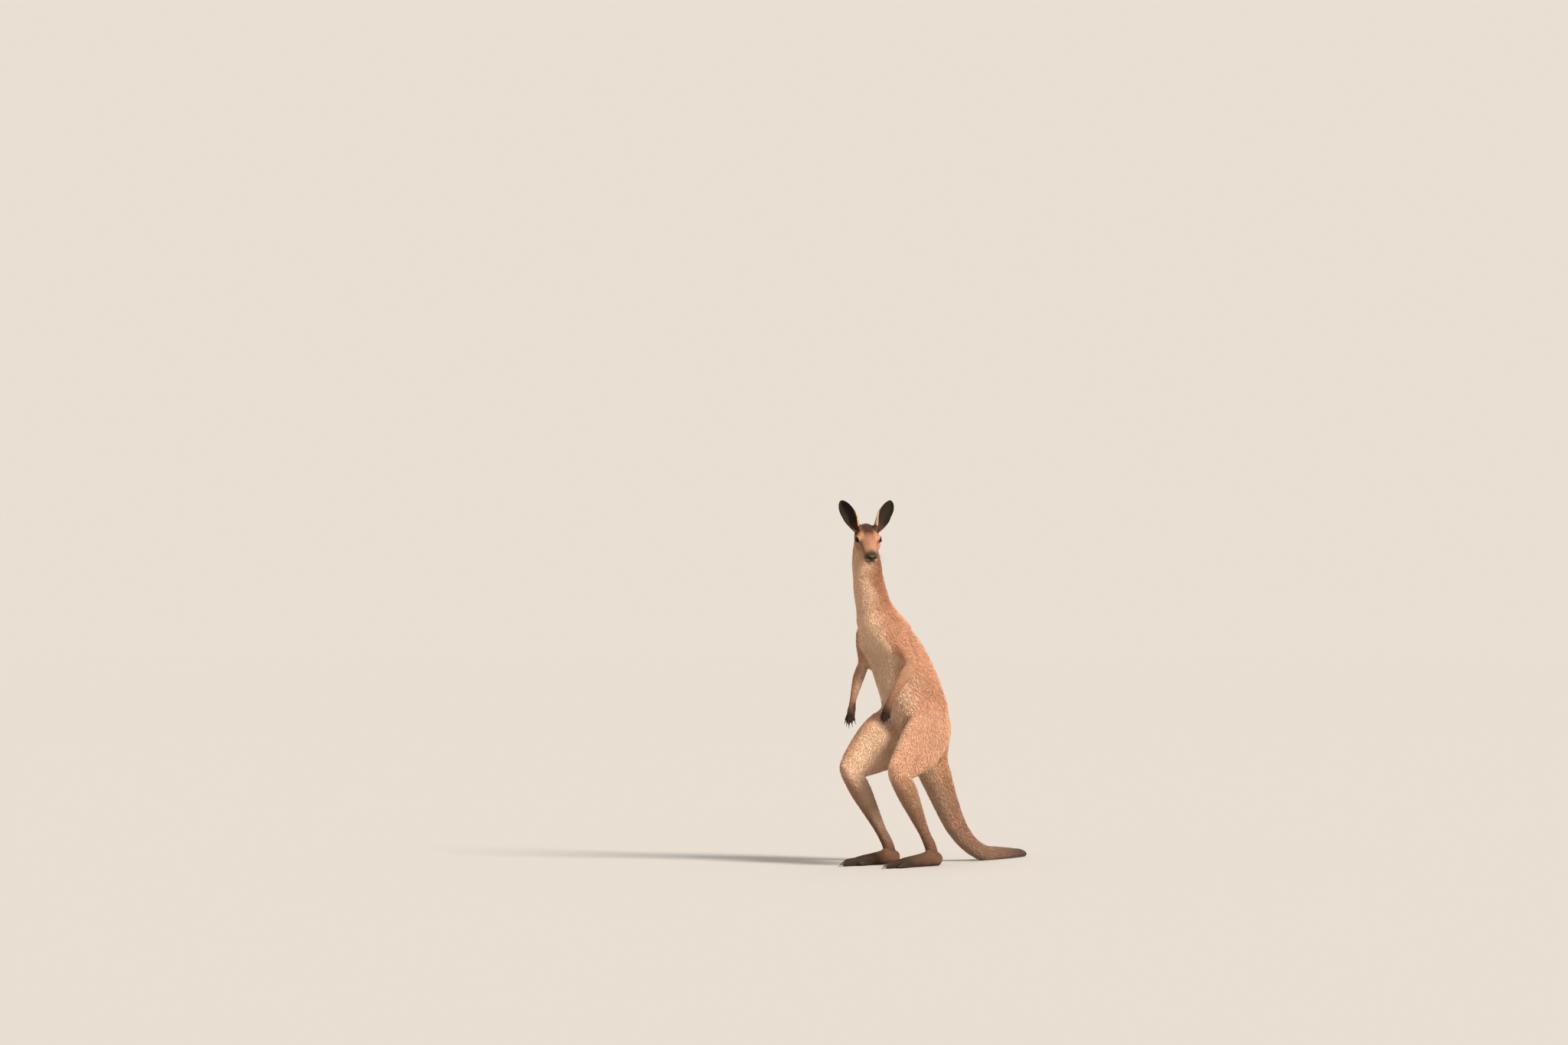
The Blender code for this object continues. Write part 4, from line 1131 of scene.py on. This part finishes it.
def buildTufts(name, hairs, rings=2, stiff=1.0):
    # at s from 0 to 1 along a tuft: root + s length along + (lift (1 - (1 - s)^1.9) + bend (s length)^2 / 2
    # - sunk (1 - s)) up the normal + curl s^2 across
    roots, normals, lie, colours = (hairs[key] for key in ("points", "normals", "lie", "colour"))
    depth, length, width = hairs["sizes"][:, :3].T
    bend, count, shape = hairs["bend"].reshape(-1), len(roots), tuftShape
    turn = np.radians(shape["turned"]) * draw.normal(0, 0.6, count) * stiff
    cross = np.cross(normals, lie)
    along = lie * np.cos(turn)[:, None] + cross * np.sin(turn)[:, None]
    cross = np.cross(normals, along)
    length = length * (1 - shape["shorter"] * draw.random(count))
    width = width * (0.75 + 0.5 * draw.random(count))
    low, high = shape["lifted"]
    lift = depth * (low + (high - low) * draw.random(count))
    curl = draw.normal(0, 0.5, count) * shape["curl"] * length * stiff
    length = length * (1 - shape["creased"] * softStep(bend * length, 0.25, 0.9))
    bend = np.clip(bend * length, *shape["bent"]) / length

    steps = shape["steps"][rings]
    s = np.array(steps)[None, :]
    rise = -shape["sunk"] * width[:, None] * (1 - s) + lift[:, None] * (1 - (1 - s) ** 1.9)
    rise = rise + 0.5 * bend[:, None] * (length[:, None] * s) ** 2
    centre = (roots[:, None] + along[:, None] * (length[:, None] * s)[..., None]
              + normals[:, None] * rise[..., None] + cross[:, None] * (curl[:, None] * s**2)[..., None])
    half = 0.5 * width[:, None] * np.interp(steps, *shape["fat"])[None, :]
    corners = [(-1.0, -0.4), (1.0, -0.4), (0.0, 0.8)]
    rows = [centre + cross[:, None] * (half * a)[..., None]
            + normals[:, None] * (half * 2 * shape["flat"] * b)[..., None] for a, b in corners]
    ringPoints = np.stack(rows, axis=2)[:, :-1]  # tufts, rings, corners, xyz
    points = np.concatenate([ringPoints.reshape(count, -1, 3), centre[:, -1:]], axis=1)
    points[..., 2] = np.maximum(points[..., 2], 0.0003)

    faces = tuftFaces(rings)
    loops = (faces[None] + (np.arange(count) * points.shape[1])[:, None, None]).reshape(-1)
    mesh = bpy.data.meshes.new(name)
    mesh.vertices.add(points.size // 3)
    store(mesh.vertices, "co", points)
    mesh.loops.add(len(loops))
    store(mesh.loops, "vertex_index", loops, np.int32)
    mesh.polygons.add(len(loops) // 3)
    store(mesh.polygons, "loop_start", np.arange(0, len(loops), 3), np.int32)
    mesh.update(calc_edges=True)
    mesh.validate()

    # colour: darker at the root, each tuft a little different
    level = np.concatenate([np.repeat(s[0, :-1], 3), [1.0]])
    own = np.exp(draw.normal(0, shape["own"], count))[:, None, None]
    warm = draw.normal(0, shape["warm"], count)[:, None]
    tint = np.concatenate([1 + warm, np.ones((count, 1)), 1 - warm], axis=1)[:, None, :]
    shade = np.interp(level, *shape["shade"])[None, :, None]
    base, root = colours[:, None, :], np.minimum(coatTones["root"], colours)[:, None, :]
    rooted = base + (root - base) * (shape["rooted"] * (1 - level))[None, :, None]
    paint(mesh, "coatColour", np.clip(rooted * own * tint * shade, 0.003, 1).reshape(-1, 3))

    # the strands of each lock: how far across it and along it, in millimetres, and a number of its own
    across = np.stack([half * a for a, b in corners], axis=2)[:, :-1].reshape(count, -1) * 1000
    across = np.concatenate([across, np.zeros((count, 1))], axis=1) + draw.random(count)[:, None] * 500
    down = level[None, :] * length[:, None] * 1000 * shape["grain"]
    number = np.broadcast_to(draw.random(count)[:, None] * 90, down.shape)
    strand = mesh.attributes.new("strand", "FLOAT_VECTOR", "POINT")
    store(strand.data, "vector", np.stack([across, down, number], axis=-1))

    # the map: a small patch for each tuft, at the place of its root
    spot = np.stack([np.tile([0.0, 1.0, 0.5], rings), np.repeat(s[0, :-1], 3)], axis=1)
    spot = np.concatenate([spot, [[0.5, 1.0]]]) - 0.5
    onMap = hairs["places"][:, None] + spot[None] * shape["patch"]
    store(mesh.uv_layers.new(name="OFBake").uv, "vector", onMap.reshape(-1, 2)[loops])
    obj = linked(name, mesh)
    mesh.materials.append(coatFinish)
    mesh.shade_smooth()
    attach(obj, "root")
    print(f"  {name}: {count} tufts, {len(faces) * count} triangles")


def sampleSkin(chosen):
    # roots spread over the chosen triangles, as close together as their spacing asks
    a, b, c = table["points"][triangles].transpose(1, 0, 2)
    area = 0.5 * np.linalg.norm(np.cross(b - a, c - a), axis=1)
    gap = table["sizes"][triangles][:, :, 3].mean(axis=1)
    bare = table["bare"][triangles].max(axis=(1, 2))
    wanted = area / gap**2 * chosen * (1 - softStep(bare, 0.3, 0.6)) * tuftShape["share"]
    reach = np.cumsum(wanted)
    count = int(reach[-1])
    at = np.searchsorted(reach, (np.arange(count) + draw.random(count)) * reach[-1] / count)
    u, v = np.sqrt(draw.random(count)), draw.random(count)
    share = np.stack([1 - u, u * (1 - v), u * v], axis=1)  # even over a triangle
    found = {key: (table[key][triangles[at]] * share[..., None]).sum(axis=1) for key in table}
    found["normals"], found["lie"] = unit(found["normals"]), unit(found["lie"])
    found["places"] = (skinPlaces[at] * share[..., None]).sum(axis=1)
    return found


# Materials

def newMaterial(name, roughness, **sockets):
    material = bpy.data.materials.new(name)
    material.use_nodes = True
    shader = material.node_tree.nodes["Principled BSDF"]
    setSockets(shader, Roughness=roughness, **sockets)
    return material, material.node_tree.nodes, material.node_tree.links, shader


def setSockets(node, **sockets):
    # fixed values, named as the sockets are, with _ for a space
    for socket, value in sockets.items():
        node.inputs[socket.replace("_", " ")].default_value = value


def addNode(nodes, kind, operation=None, **sockets):
    node = nodes.new("ShaderNode" + kind)
    if operation:
        node.operation = operation
    setSockets(node, **sockets)
    return node


def attributeFrom(nodes, name, output="Color"):
    node = addNode(nodes, "Attribute")
    node.attribute_name = name
    return node.outputs[output]


def noiseAt(nodes, links, vector, scale, detail):
    noise = addNode(nodes, "TexNoise", Scale=scale, Detail=detail)
    links.new(vector, noise.inputs["Vector"])
    return noise.outputs["Fac"]


def ranged(nodes, links, value, low, high, start, end):
    # the value's stretch from low to high becomes the stretch from start to end
    span = addNode(nodes, "MapRange", From_Min=low, From_Max=high, To_Min=start, To_Max=end)
    links.new(value, span.inputs["Value"])
    return span


def multiplied(nodes, links, colour, factor):
    scale = addNode(nodes, "VectorMath", "SCALE")
    links.new(colour, scale.inputs[0])
    links.new(factor, scale.inputs["Scale"])
    return scale.outputs["Vector"]


def coatColoured(nodes, links, shader, factor):
    # the painted colour of the coat times a factor
    colour = multiplied(nodes, links, attributeFrom(nodes, "coatColour"), factor)
    links.new(colour, shader.inputs["Base Color"])


def bumped(nodes, links, height, shader, strength, distance):
    bump = addNode(nodes, "Bump", Strength=strength, Distance=distance)
    links.new(height, bump.inputs["Height"])
    links.new(bump.outputs["Normal"], shader.inputs["Normal"])


def coatMaterial():
    material, nodes, links, shader = newMaterial("coat", 0.66, Specular_IOR_Level=0.20, Sheen_Weight=0.04,
                                                 Sheen_Roughness=0.45)
    height = noiseAt(nodes, links, attributeFrom(nodes, "strand", "Vector"), 3.4, 1.0)
    factor = ranged(nodes, links, height, 0.3, 0.7, 0.78, 1.22).outputs["Result"]
    coatColoured(nodes, links, shader, factor)
    bumped(nodes, links, height, shader, 0.5, 0.0003)
    return material


combed = {
    "scale": 1500, "reads": 9, "step": 0.00045,  # a noise, how often it is read and how far apart
    "noise": (0.42, 0.58), "shade": (0.62, 1.20), "relief": 0.0016,
}


def combedNoise(nodes, links):
    # the mean of a fine noise read at even steps along the lie, which draws it out into hairs
    place, lie, reads = addNode(nodes, "TexCoord"), attributeFrom(nodes, "lie", "Vector"), combed["reads"]
    total = None
    for k in range(reads):
        moved = addNode(nodes, "VectorMath", "MULTIPLY_ADD")
        moved.inputs[1].default_value = [combed["step"] * (k - reads / 2)] * 3
        links.new(lie, moved.inputs[0])
        links.new(place.outputs["Object"], moved.inputs[2])
        share = addNode(nodes, "Math", "MULTIPLY_ADD")
        share.inputs[1].default_value, share.inputs[2].default_value = 1 / reads, 0
        links.new(noiseAt(nodes, links, moved.outputs["Vector"], combed["scale"], 1.0), share.inputs[0])
        if total:
            links.new(total, share.inputs[2])
        total = share.outputs["Value"]
    return total


def skinMaterial():
    material, nodes, links, shader = newMaterial("skin under the coat", 0.72, Specular_IOR_Level=0.22)
    height = combedNoise(nodes, links)
    factor = ranged(nodes, links, height, *combed["noise"], *combed["shade"]).outputs["Result"]
    coatColoured(nodes, links, shader, factor)
    bumped(nodes, links, height, shader, 0.9, combed["relief"])
    return material


coatFinish = coatMaterial()
skin.data.materials.append(skinMaterial())
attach(skin, "root")
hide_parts(*[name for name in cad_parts
                    if not name.startswith(("eye", "nose")) and "claw" not in name])


# Coat pieces, one for each region, so that none is too heavy

def growCoat():
    parts, points, ear = table["parts"], table["points"], table["ear"][:, 0]
    share = {name: parts[:, k] * (1 - ear) for k, name in enumerate(coatPlan)}
    loins = heels[2] + 0.655  # the back's coat divides at this height
    high = softStep(points[:, 2], loins, loins + 0.001)
    left = (points[:, 0] > 0).astype(float)
    regions = {
        "coat_ears": ear, "coat_head": share["skull"], "coat_neck": share["neck"],
        "coat_shoulders": share["back"] * high, "coat_loins": share["back"] * (1 - high),
        "coat_thigh_left": share["thigh"] * left, "coat_thigh_right": share["thigh"] * (1 - left),
        "coat_shins": share["shin"], "coat_feet": sum(share[part] for part in footParts),
        "coat_arms": share["upperArm"] + share["forearm"], "coat_hands": share["palm"] + share["finger"],
        "coat_tail": share["tail"],
    }
    # each triangle goes to the region that has most of it
    each = np.stack([weight[triangles].mean(axis=1) for weight in regions.values()], axis=1)
    owner = each.argmax(axis=1)
    for k, name in enumerate(regions):
        buildTufts(name, sampleSkin(owner == k))


print("growing the coat")
growCoat()


fringe = {  # strips of roots, hairs in each and how far up the ear they go; then the hairs' lengths
    "medial": (3, 260, 0.62), "rim": (2, 150, 0.97), "long": 0.0130, "short": 0.0050, "scatter": 0.0004,
}


def growFringe():
    # long pale hairs on the inner edge of each ear, and short dark ones along the rest of its rim
    made = {key: [] for key in ("roots", "normals", "lie", "long", "tones")}
    for side in sides.values():
        sheet, s = earSheet(side, 120, 41)
        normal, stem = sheetNormals(sheet), unit(np.gradient(sheet, axis=0))
        breadth = unit(np.gradient(sheet, axis=1))
        for edge, inwards in ((0, 1), (-1, -1)):
            medial = (edge == 0) == (side > 0)
            strips, count, top = fringe["medial" if medial else "rim"]
            for inset in range(strips):
                column = edge + inwards * inset
                want = 0.015 + (top - 0.015) * draw.random(count)
                at = np.clip(np.searchsorted(s[:, 0], want), 0, len(s) - 1)
                pale = medial * (1 - softStep(want, 0.40, 0.60))
                into, away = inwards * (0.55 * pale + 0.1), -normal[at, column]
                way = stem[at, column] + breadth[at, column] * into[:, None]
                way = unit(way + away * (0.35 * pale)[:, None])
                long = np.where(pale > 0.5, fringe["long"], fringe["short"])
                made["long"].append(long * (1 - 0.4 * draw.random(count)))
                made["roots"].append(sheet[at, column] + draw.normal(0, fringe["scatter"], (count, 3)))
                made["lie"].append(way)
                made["normals"].append(squareTo(away, way))
                dark = np.broadcast_to(coatTones["ear"], (count, 3))
                made["tones"].append(mixTo(dark, coatTones["fringe"], pale))
    roots, normals, lie, long, tones = (np.concatenate(values) for values in made.values())
    spots = np.stack([draw.random(len(long)), draw.random(len(long))], axis=1)
    growSingle("ear_fringe", roots, normals, lie, long, tones, spots)


singleHairs = {  # depth as a share of the length, width, bend, rings and how much it strays
    "ear_fringe": (0.12, 0.0007, 0.0, 3, 1.0),
    "whiskers": (0.02, 0.00042, -6.0, 5, 1.0),
    "lashes": (0.05, 0.00040, 25.0, 3, 0.4),
}


def growSingle(name, roots, normals, lie, long, tones, spots):
    depth, width, bend, rings, stiff = singleHairs[name]
    count = len(long)
    hairs = dict(points=roots, normals=normals, lie=lie, bend=np.full(count, bend),
                 sizes=np.stack([long * depth, long, np.full(count, width)], axis=1),
                 colour=np.broadcast_to(tones, (count, 3)), places=0.02 + 0.96 * spots)
    buildTufts(name, hairs, rings, stiff)


growFringe()


# Whiskers and lashes: single hairs, set on the skin one by one

whiskers = {  # share of the head ahead and height of the first root, and the way to the next ones
    "rows": 4, "each": 6, "first": (0.93, -0.0085), "back": 0.035, "rowBack": 0.008, "rowDown": 0.0042,
    "browEach": 5, "browFirst": (0.50, 0.040), "browBack": 0.02, "out": 0.030,
}


def growWhiskers():
    roots, lie, long, plan = [], [], [], whiskers
    (ahead, high), (browAhead, browHigh) = plan["first"], plan["browFirst"]
    for side in sides.values():
        out = side * plan["out"]
        for row in range(plan["rows"]):
            for k in range(plan["each"]):
                back = plan["back"] * k + plan["rowBack"] * row
                roots.append(headAt(ahead - back, high - plan["rowDown"] * row, out))
                lie.append([side * (0.80 + 0.1 * draw.random()), 0.10 + 0.12 * k - 0.25 * draw.random(),
                            -0.30 - 0.10 * row])
                long.append(0.020 + 0.018 * draw.random() + 0.002 * k)
        for k in range(plan["browEach"]):  # over the eye
            roots.append(headAt(browAhead - plan["browBack"] * k, browHigh, out))
            lie.append([side * 0.6, -0.35, 0.65])
            long.append(0.018 + 0.008 * draw.random())
    surface = readPoints(skin.data)
    nearest = [np.linalg.norm(surface - root, axis=1).argmin() for root in toWorld(np.array(roots))]
    lie = unit(unit(np.array(lie)) @ headAxes.T)
    normals = unit(np.cross(lie, np.cross(np.broadcast_to(up, lie.shape), lie)))
    growSingle("whiskers", surface[nearest], normals, lie, np.array(long), coatTones["whisker"],
               draw.random((len(long), 2)))


lashRows = {"upper": (18, 158, 60, 0.0075), "lower": (205, 335, 34, 0.0040)}  # degrees, number, length


def growLashes():
    made = {key: [] for key in ("roots", "lie", "normals", "long")}
    for side in sides.values():
        look, corner, rise = eyeAxes(side)
        for low, high, count, reach in lashRows.values():
            turn = np.radians(low + (high - low) * (np.arange(count) + draw.random(count)) / count)
            root = onEye(side, np.full(count, pose["eyeRadius"] + 0.0013), opening(turn) + 0.5, turn)
            upwards = corner * np.cos(turn)[:, None] + rise * np.sin(turn)[:, None]
            made["roots"].append(root)
            made["lie"].append(unit(look * 0.75 + upwards * 0.75 + draw.normal(0, 0.07, (count, 3))))
            made["normals"].append(unit(root - eyeCentre(side)))
            falling = 0.35 + 0.65 * np.abs(np.sin(turn)) ** 1.5  # shorter towards the corners
            made["long"].append(reach * (0.7 + 0.5 * draw.random(count)) * falling)
    roots, lie, normals, long = (np.concatenate(values) for values in made.values())
    growSingle("lashes", roots, squareTo(normals, lie), lie, long, coatTones["lash"],
               draw.random((len(long), 2)))


growWhiskers()
growLashes()


# Eyes: a ball whose front swells a little, with a dark brown iris round a wide pupil

eyeLook = {
    "iris": tone(46, 27, 16), "irisEdge": tone(24, 14, 9), "pupil": tone(6, 4, 4), "outside": tone(16, 10, 8),
    "pupilReach": 15.0, "pupilWider": 5.0,  # degrees from the line of sight
    "swell": 0.0006, "swellWidth": 24,
}


def buildEye(name, side, material):
    # radius + swell exp(-(degrees from the line of sight / width)^2 / 2)
    look = eyeLook
    turn = np.linspace(0, 2 * np.pi, 64, endpoint=False)
    away = np.concatenate([np.linspace(1, 60, 60), np.linspace(64, 178, 24)])[:, None] + 0 * turn
    radius = pose["eyeRadius"] + look["swell"] * hump(away, 0, look["swellWidth"])
    grid = onEye(side, radius, away, np.broadcast_to(turn, away.shape))
    obj = outwards(newObject(f"eyeball_{name}", *closedGrid(grid), material))
    ring = away / (look["pupilReach"] + look["pupilWider"] * np.abs(np.cos(turn)))
    iris = mixTo(np.broadcast_to(look["iris"], (*away.shape, 3)), look["irisEdge"], softStep(away, 24, 40))
    streak = 0.25 * np.sin(turn * 37 + 2 * np.sin(turn * 11)) * softStep(away, 16, 26)
    streak = 1 + streak * (1 - softStep(away, 34, 40))
    colour = mixTo(iris * streak[..., None], look["pupil"], 1 - softStep(ring, 0.92, 1.05))
    paint(obj.data, "eyeColour", capped(mixTo(colour, look["outside"], softStep(away, 40, 44))))
    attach(obj, "root")
    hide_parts(f"eye_{name}")


eyeFinish, nodes, links, shader = newMaterial("eye", 0.05, IOR=1.36, Specular_IOR_Level=0.20)
links.new(attributeFrom(nodes, "eyeColour"), shader.inputs["Base Color"])
for name, side in sides.items():
    buildEye(name, side, eyeFinish)
print("eyes made")


# Nose: bare dark skin, wider above than below, with a comma-shaped nostril on each side

noseShape = {
    "radii": (0.0142, 0.0140, 0.0106), "boxy": 2.5, "narrow": 0.40, "deep": 0.0058, "slit": 0.00125,
    "wing": 0.0011, "groove": 0.0008,
    "comma": [(0.0050, -0.0022), (0.0058, 0.0012), (0.0084, 0.0030), (0.0112, 0.0020), (0.0124, -0.0012)],
    # the hollow colour is painted shade: the insides of the nostrils painted near black
    "leather": tone(45, 34, 28), "hollow": tone(10, 8, 7), "paleBand": tone(74, 58, 50),
}


def buildNose(material):
    # a boxed ball, (x^n + y^n + z^n)^(-1/n) along each direction, hollowed along the comma of each nostril
    shape = noseShape
    turn = np.linspace(0, 2 * np.pi, 128, endpoint=False)[None, :]
    a = np.radians(np.linspace(0.5, 179, 90)[:, None])
    way = np.stack([np.sin(a) * np.cos(turn), -np.cos(a) + 0 * turn, np.sin(a) * np.sin(turn)], axis=-1)
    reach = (np.abs(way) ** shape["boxy"]).sum(axis=-1, keepdims=True) ** (-1 / shape["boxy"])
    point = way * reach * shape["radii"]
    point[..., 0] *= 1 - shape["narrow"] * softStep(-way[..., 2], -0.1, 0.95)
    distance = pathDistance(np.abs(point[..., 0]).ravel(), point[..., 2].ravel(), shape["comma"])
    distance = distance.reshape(point.shape[:2])
    front = softStep(-point[..., 1], 0.001, 0.006)
    nostril = hump(distance, 0, shape["slit"]) * front
    hollow = shape["deep"] * nostril - shape["wing"] * hump(distance, 0.0036, 0.0013) * front
    groove = hump(point[..., 0], 0, 0.0007) * softStep(-point[..., 2], -0.004, 0.002)
    hollow += shape["groove"] * groove * front
    grid = toWorld(point - unit(point) * hollow[..., None] + headAt(*headShape["nose"]))
    obj = outwards(newObject("nose_leather", *closedGrid(grid), material))
    colour = np.broadcast_to(shape["leather"], point.shape)
    # painted shade: inside each nostril the leather is painted near black
    colour = mixTo(colour, shape["hollow"], softStep(nostril, 0.25, 0.7))
    # a paler band across the upper front of the nose
    colour = mixTo(colour, shape["paleBand"], 0.5 * hump(point[..., 2], 0.0065, 0.0025) * front)
    paint(obj.data, "noseColour", capped(colour))
    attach(obj, "root")
    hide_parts("nose")


def noseMaterial():
    material, nodes, links, shader = newMaterial("nose leather", 0.48, Specular_IOR_Level=0.24)
    links.new(attributeFrom(nodes, "noseColour"), shader.inputs["Base Color"])
    pebble = addNode(nodes, "TexVoronoi", Scale=1100)
    links.new(addNode(nodes, "TexCoord").outputs["Object"], pebble.inputs["Vector"])
    bumped(nodes, links, pebble.outputs["Distance"], shader, 0.5, 0.0003)
    return material


buildNose(noseMaterial())


# Claws: a tapering, curved horn of oval section, narrower along its back

clawShape = {  # length and droop, then the thickness along it from before its root to its tip
    "toe": (0.042, 0.24), "finger": (0.021, 0.34), "fingerThick": 0.0027,
    "taper": ([-0.25, 0, 0.35, 0.70, 0.93, 1.0], [0.80, 1.0, 0.90, 0.60, 0.25, 0.04]),
    "dark": tone(30, 24, 21), "pale": tone(74, 61, 52),
}
toeClaws = {  # how far out, ahead and up, share of the length and thickness
    "fourth": (0.0010, 0.256, 0.0140, 1.00, 0.0074), "fifth": (0.0262, 0.209, 0.0115, 0.62, 0.0046),
    "third": (-0.0165, 0.191, 0.0125, 0.40, 0.0028), "second": (-0.0238, 0.190, 0.0125, 0.38, 0.0028),
}


def buildClaw(node, base, way, length, thick, droop, material):
    # at t along it: base + way length t + down droop length t |t|, with an oval section, flatter below
    way = unit(np.array(way, float))
    curl = forward if abs(way[2]) > 0.7 else up
    down = unit(way * (way @ curl) - curl)
    t = np.concatenate([np.linspace(-0.25, 0.9, 16), [0.96, 1.0]])
    centre = base + way * (length * t)[:, None] + down * (droop * length * t * np.abs(t))[:, None]
    taper = thick * np.interp(t, *clawShape["taper"])[:, None]
    along = unit(np.gradient(centre, axis=0))
    turn = np.linspace(0, 2 * np.pi, 20, endpoint=False)
    rise = unit(-down - (along @ -down)[:, None] * along)
    side = np.cross(along, rise)
    high = np.sin(turn) * np.where(np.sin(turn) > 0, 1.0, 0.72)
    wide = 0.78 * np.cos(turn) * (1 - 0.18 * np.maximum(0, np.sin(turn)))
    grid = (centre[:, None] + side[:, None] * (taper * wide)[..., None]
            + rise[:, None] * (taper * high)[..., None])
    obj = outwards(newObject(node.replace("_claw_", "_horn_"), *closedGrid(grid), material))
    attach(obj, "root")
    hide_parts(node)


def buildClaws(material):
    for name, side in sides.items():
        length, droop = clawShape["toe"]
        for toe, (out, ahead, height, share, thick) in toeClaws.items():
            ahead = ahead + side * pose["footLead"]
            base = heels + np.array([side * (pose["legSpread"] + out), -ahead, height])
            buildClaw(f"{toe}_toe_claw_{name}", base, forward, length * share, thick, droop, material)
        length, droop = clawShape["finger"]
        for finger, (root, tip) in zip(("first", "second", "third", "fourth", "fifth"), fingersOf(side)):
            along = unit(tip - root)
            buildClaw(f"{finger}_finger_claw_{name}", tip - along * 0.003, along, length,
                      clawShape["fingerThick"], droop, material)


def hornMaterial():
    material, nodes, links, shader = newMaterial("claw horn", 0.34, Specular_IOR_Level=0.5)
    grain = addNode(nodes, "Mapping", Scale=(1.0, 0.10, 0.35))
    links.new(addNode(nodes, "TexCoord").outputs["Object"], grain.inputs["Vector"])
    height = noiseAt(nodes, links, grain.outputs["Vector"], 1500, 2.0)
    ramp = addNode(nodes, "ValToRGB")
    for element, colour in zip(ramp.color_ramp.elements, (clawShape["dark"], clawShape["pale"])):
        element.color = (*colour, 1)
    links.new(height, ramp.inputs["Fac"])
    links.new(ramp.outputs["Color"], shader.inputs["Base Color"])
    bumped(nodes, links, height, shader, 0.35, 0.0003)
    return material


buildClaws(hornMaterial())
print("nose and claws made")


# Camera, floor and light. The floor rises far off into a pale bowl, which glows as brightly as the
# lit floor looks, so no edge shows from any side.

studio = {
    "lens": 200, "sensor": 36, "clip": 400,
    "far": 32.5, "high": 1.6, "aside": -0.47571,  # metres from the heels
    "round": math.radians(40), "tilt": math.radians(0.567),
    "floor": tone(173, 169, 164), "level": 46, "rise": 30,  # radius of the level floor, then of its curve
    "air": 0.67, "airTone": np.array([1.0, 0.985, 0.965]), "glowFrom": 15, "glowTo": 33,
    "lamps": {  # strength, spread in degrees, where it comes from and its colour
        "key": (5.9, 16, (1.05, -0.08, 0.76), (1.0, 0.94, 0.86)),
        "fill": (0.6, 60, (0.3, -1.0, 0.5), (0.98, 0.98, 1.0)),
        "rim": (0.5, 40, (-0.6, 0.9, 0.8), (1.0, 0.98, 0.95)),
    },
}


def floorMaterial():
    # near: a plain pale floor. Far: its base fades and a glow takes over, equal to the light that a
    # level floor sends back, which is its tone times (air + sum of each lamp's share from above / pi)
    light = studio["air"] * studio["airTone"]
    for strength, _, way, colour in studio["lamps"].values():
        light = light + strength * way[2] / np.linalg.norm(way) / math.pi * np.array(colour)
    material, nodes, links, shader = newMaterial("pale floor", 0.9, Specular_IOR_Level=0.0,
                                                 Emission_Color=(*studio["floor"] * light, 1))
    length = addNode(nodes, "VectorMath", "LENGTH")
    links.new(addNode(nodes, "TexCoord").outputs["Object"], length.inputs[0])
    base = addNode(nodes, "RGB")
    base.outputs[0].default_value = (*studio["floor"], 1)
    shares = []
    for start, end in ((1, 0), (0, 1)):  # near and far
        span = ranged(nodes, links, length.outputs["Value"], studio["glowFrom"], studio["glowTo"], start, end)
        span.interpolation_type = "SMOOTHSTEP"
        shares.append(span.outputs["Result"])
    links.new(multiplied(nodes, links, base.outputs[0], shares[0]), shader.inputs["Base Color"])
    links.new(shares[1], shader.inputs["Emission Strength"])
    return material


def buildFloor():
    # a circle swept out level and then up a quarter turn
    level, rise = studio["level"], studio["rise"]
    swing = np.radians(np.linspace(8, 90, 14))
    radius = np.concatenate([np.linspace(0.5, level, 10), level + rise * np.sin(swing)])[:, None]
    height = np.concatenate([np.zeros(10), rise - rise * np.cos(swing)])[:, None]
    turn = np.linspace(0, 2 * np.pi, 96, endpoint=False)
    grid = np.stack([radius * np.cos(turn), radius * np.sin(turn), height + 0 * turn], axis=-1)
    points, faces = closedGrid(grid)
    faces = [face for face in faces if len(points) - 1 not in face]  # open above
    floor = newObject("floor", points, faces, floorMaterial())
    edited(floor, lambda work: bmesh.ops.reverse_faces(work, faces=[f for f in work.faces if f.normal.z < 0]))


def buildStudio():
    lens = bpy.data.cameras.new("camera")
    lens.lens, lens.sensor_width, lens.clip_end = studio["lens"], studio["sensor"], studio["clip"]
    camera = linked("camera", lens)
    bpy.context.scene.camera = camera
    c, s = math.cos(studio["round"]), math.sin(studio["round"])
    back, right = np.array([s, -c, 0]), np.array([c, s, 0])
    camera.location = heels * [1, 1, 0] + back * studio["far"] + right * studio["aside"] + up * studio["high"]
    camera.rotation_euler = (math.radians(90) - studio["tilt"], 0, studio["round"])
    world = bpy.data.worlds.new("air")
    bpy.context.scene.world = world
    world.use_nodes = True
    setSockets(world.node_tree.nodes["Background"], Color=(*studio["airTone"], 1), Strength=studio["air"])
    for name, (strength, angle, (x, y, z), colour) in studio["lamps"].items():
        light = bpy.data.lights.new(name, "SUN")
        light.energy, light.angle, light.color = strength, math.radians(angle), colour
        turn = (math.atan2(math.hypot(x, y), z), 0, math.atan2(y, x) + math.pi / 2)
        linked(name, light).rotation_euler = turn
    bpy.context.scene.view_settings.view_transform = "Standard"


buildFloor()
buildStudio()
for leftover in [mesh for mesh in bpy.data.meshes if mesh.users == 0]:
    bpy.data.meshes.remove(leftover)
print("studio made")
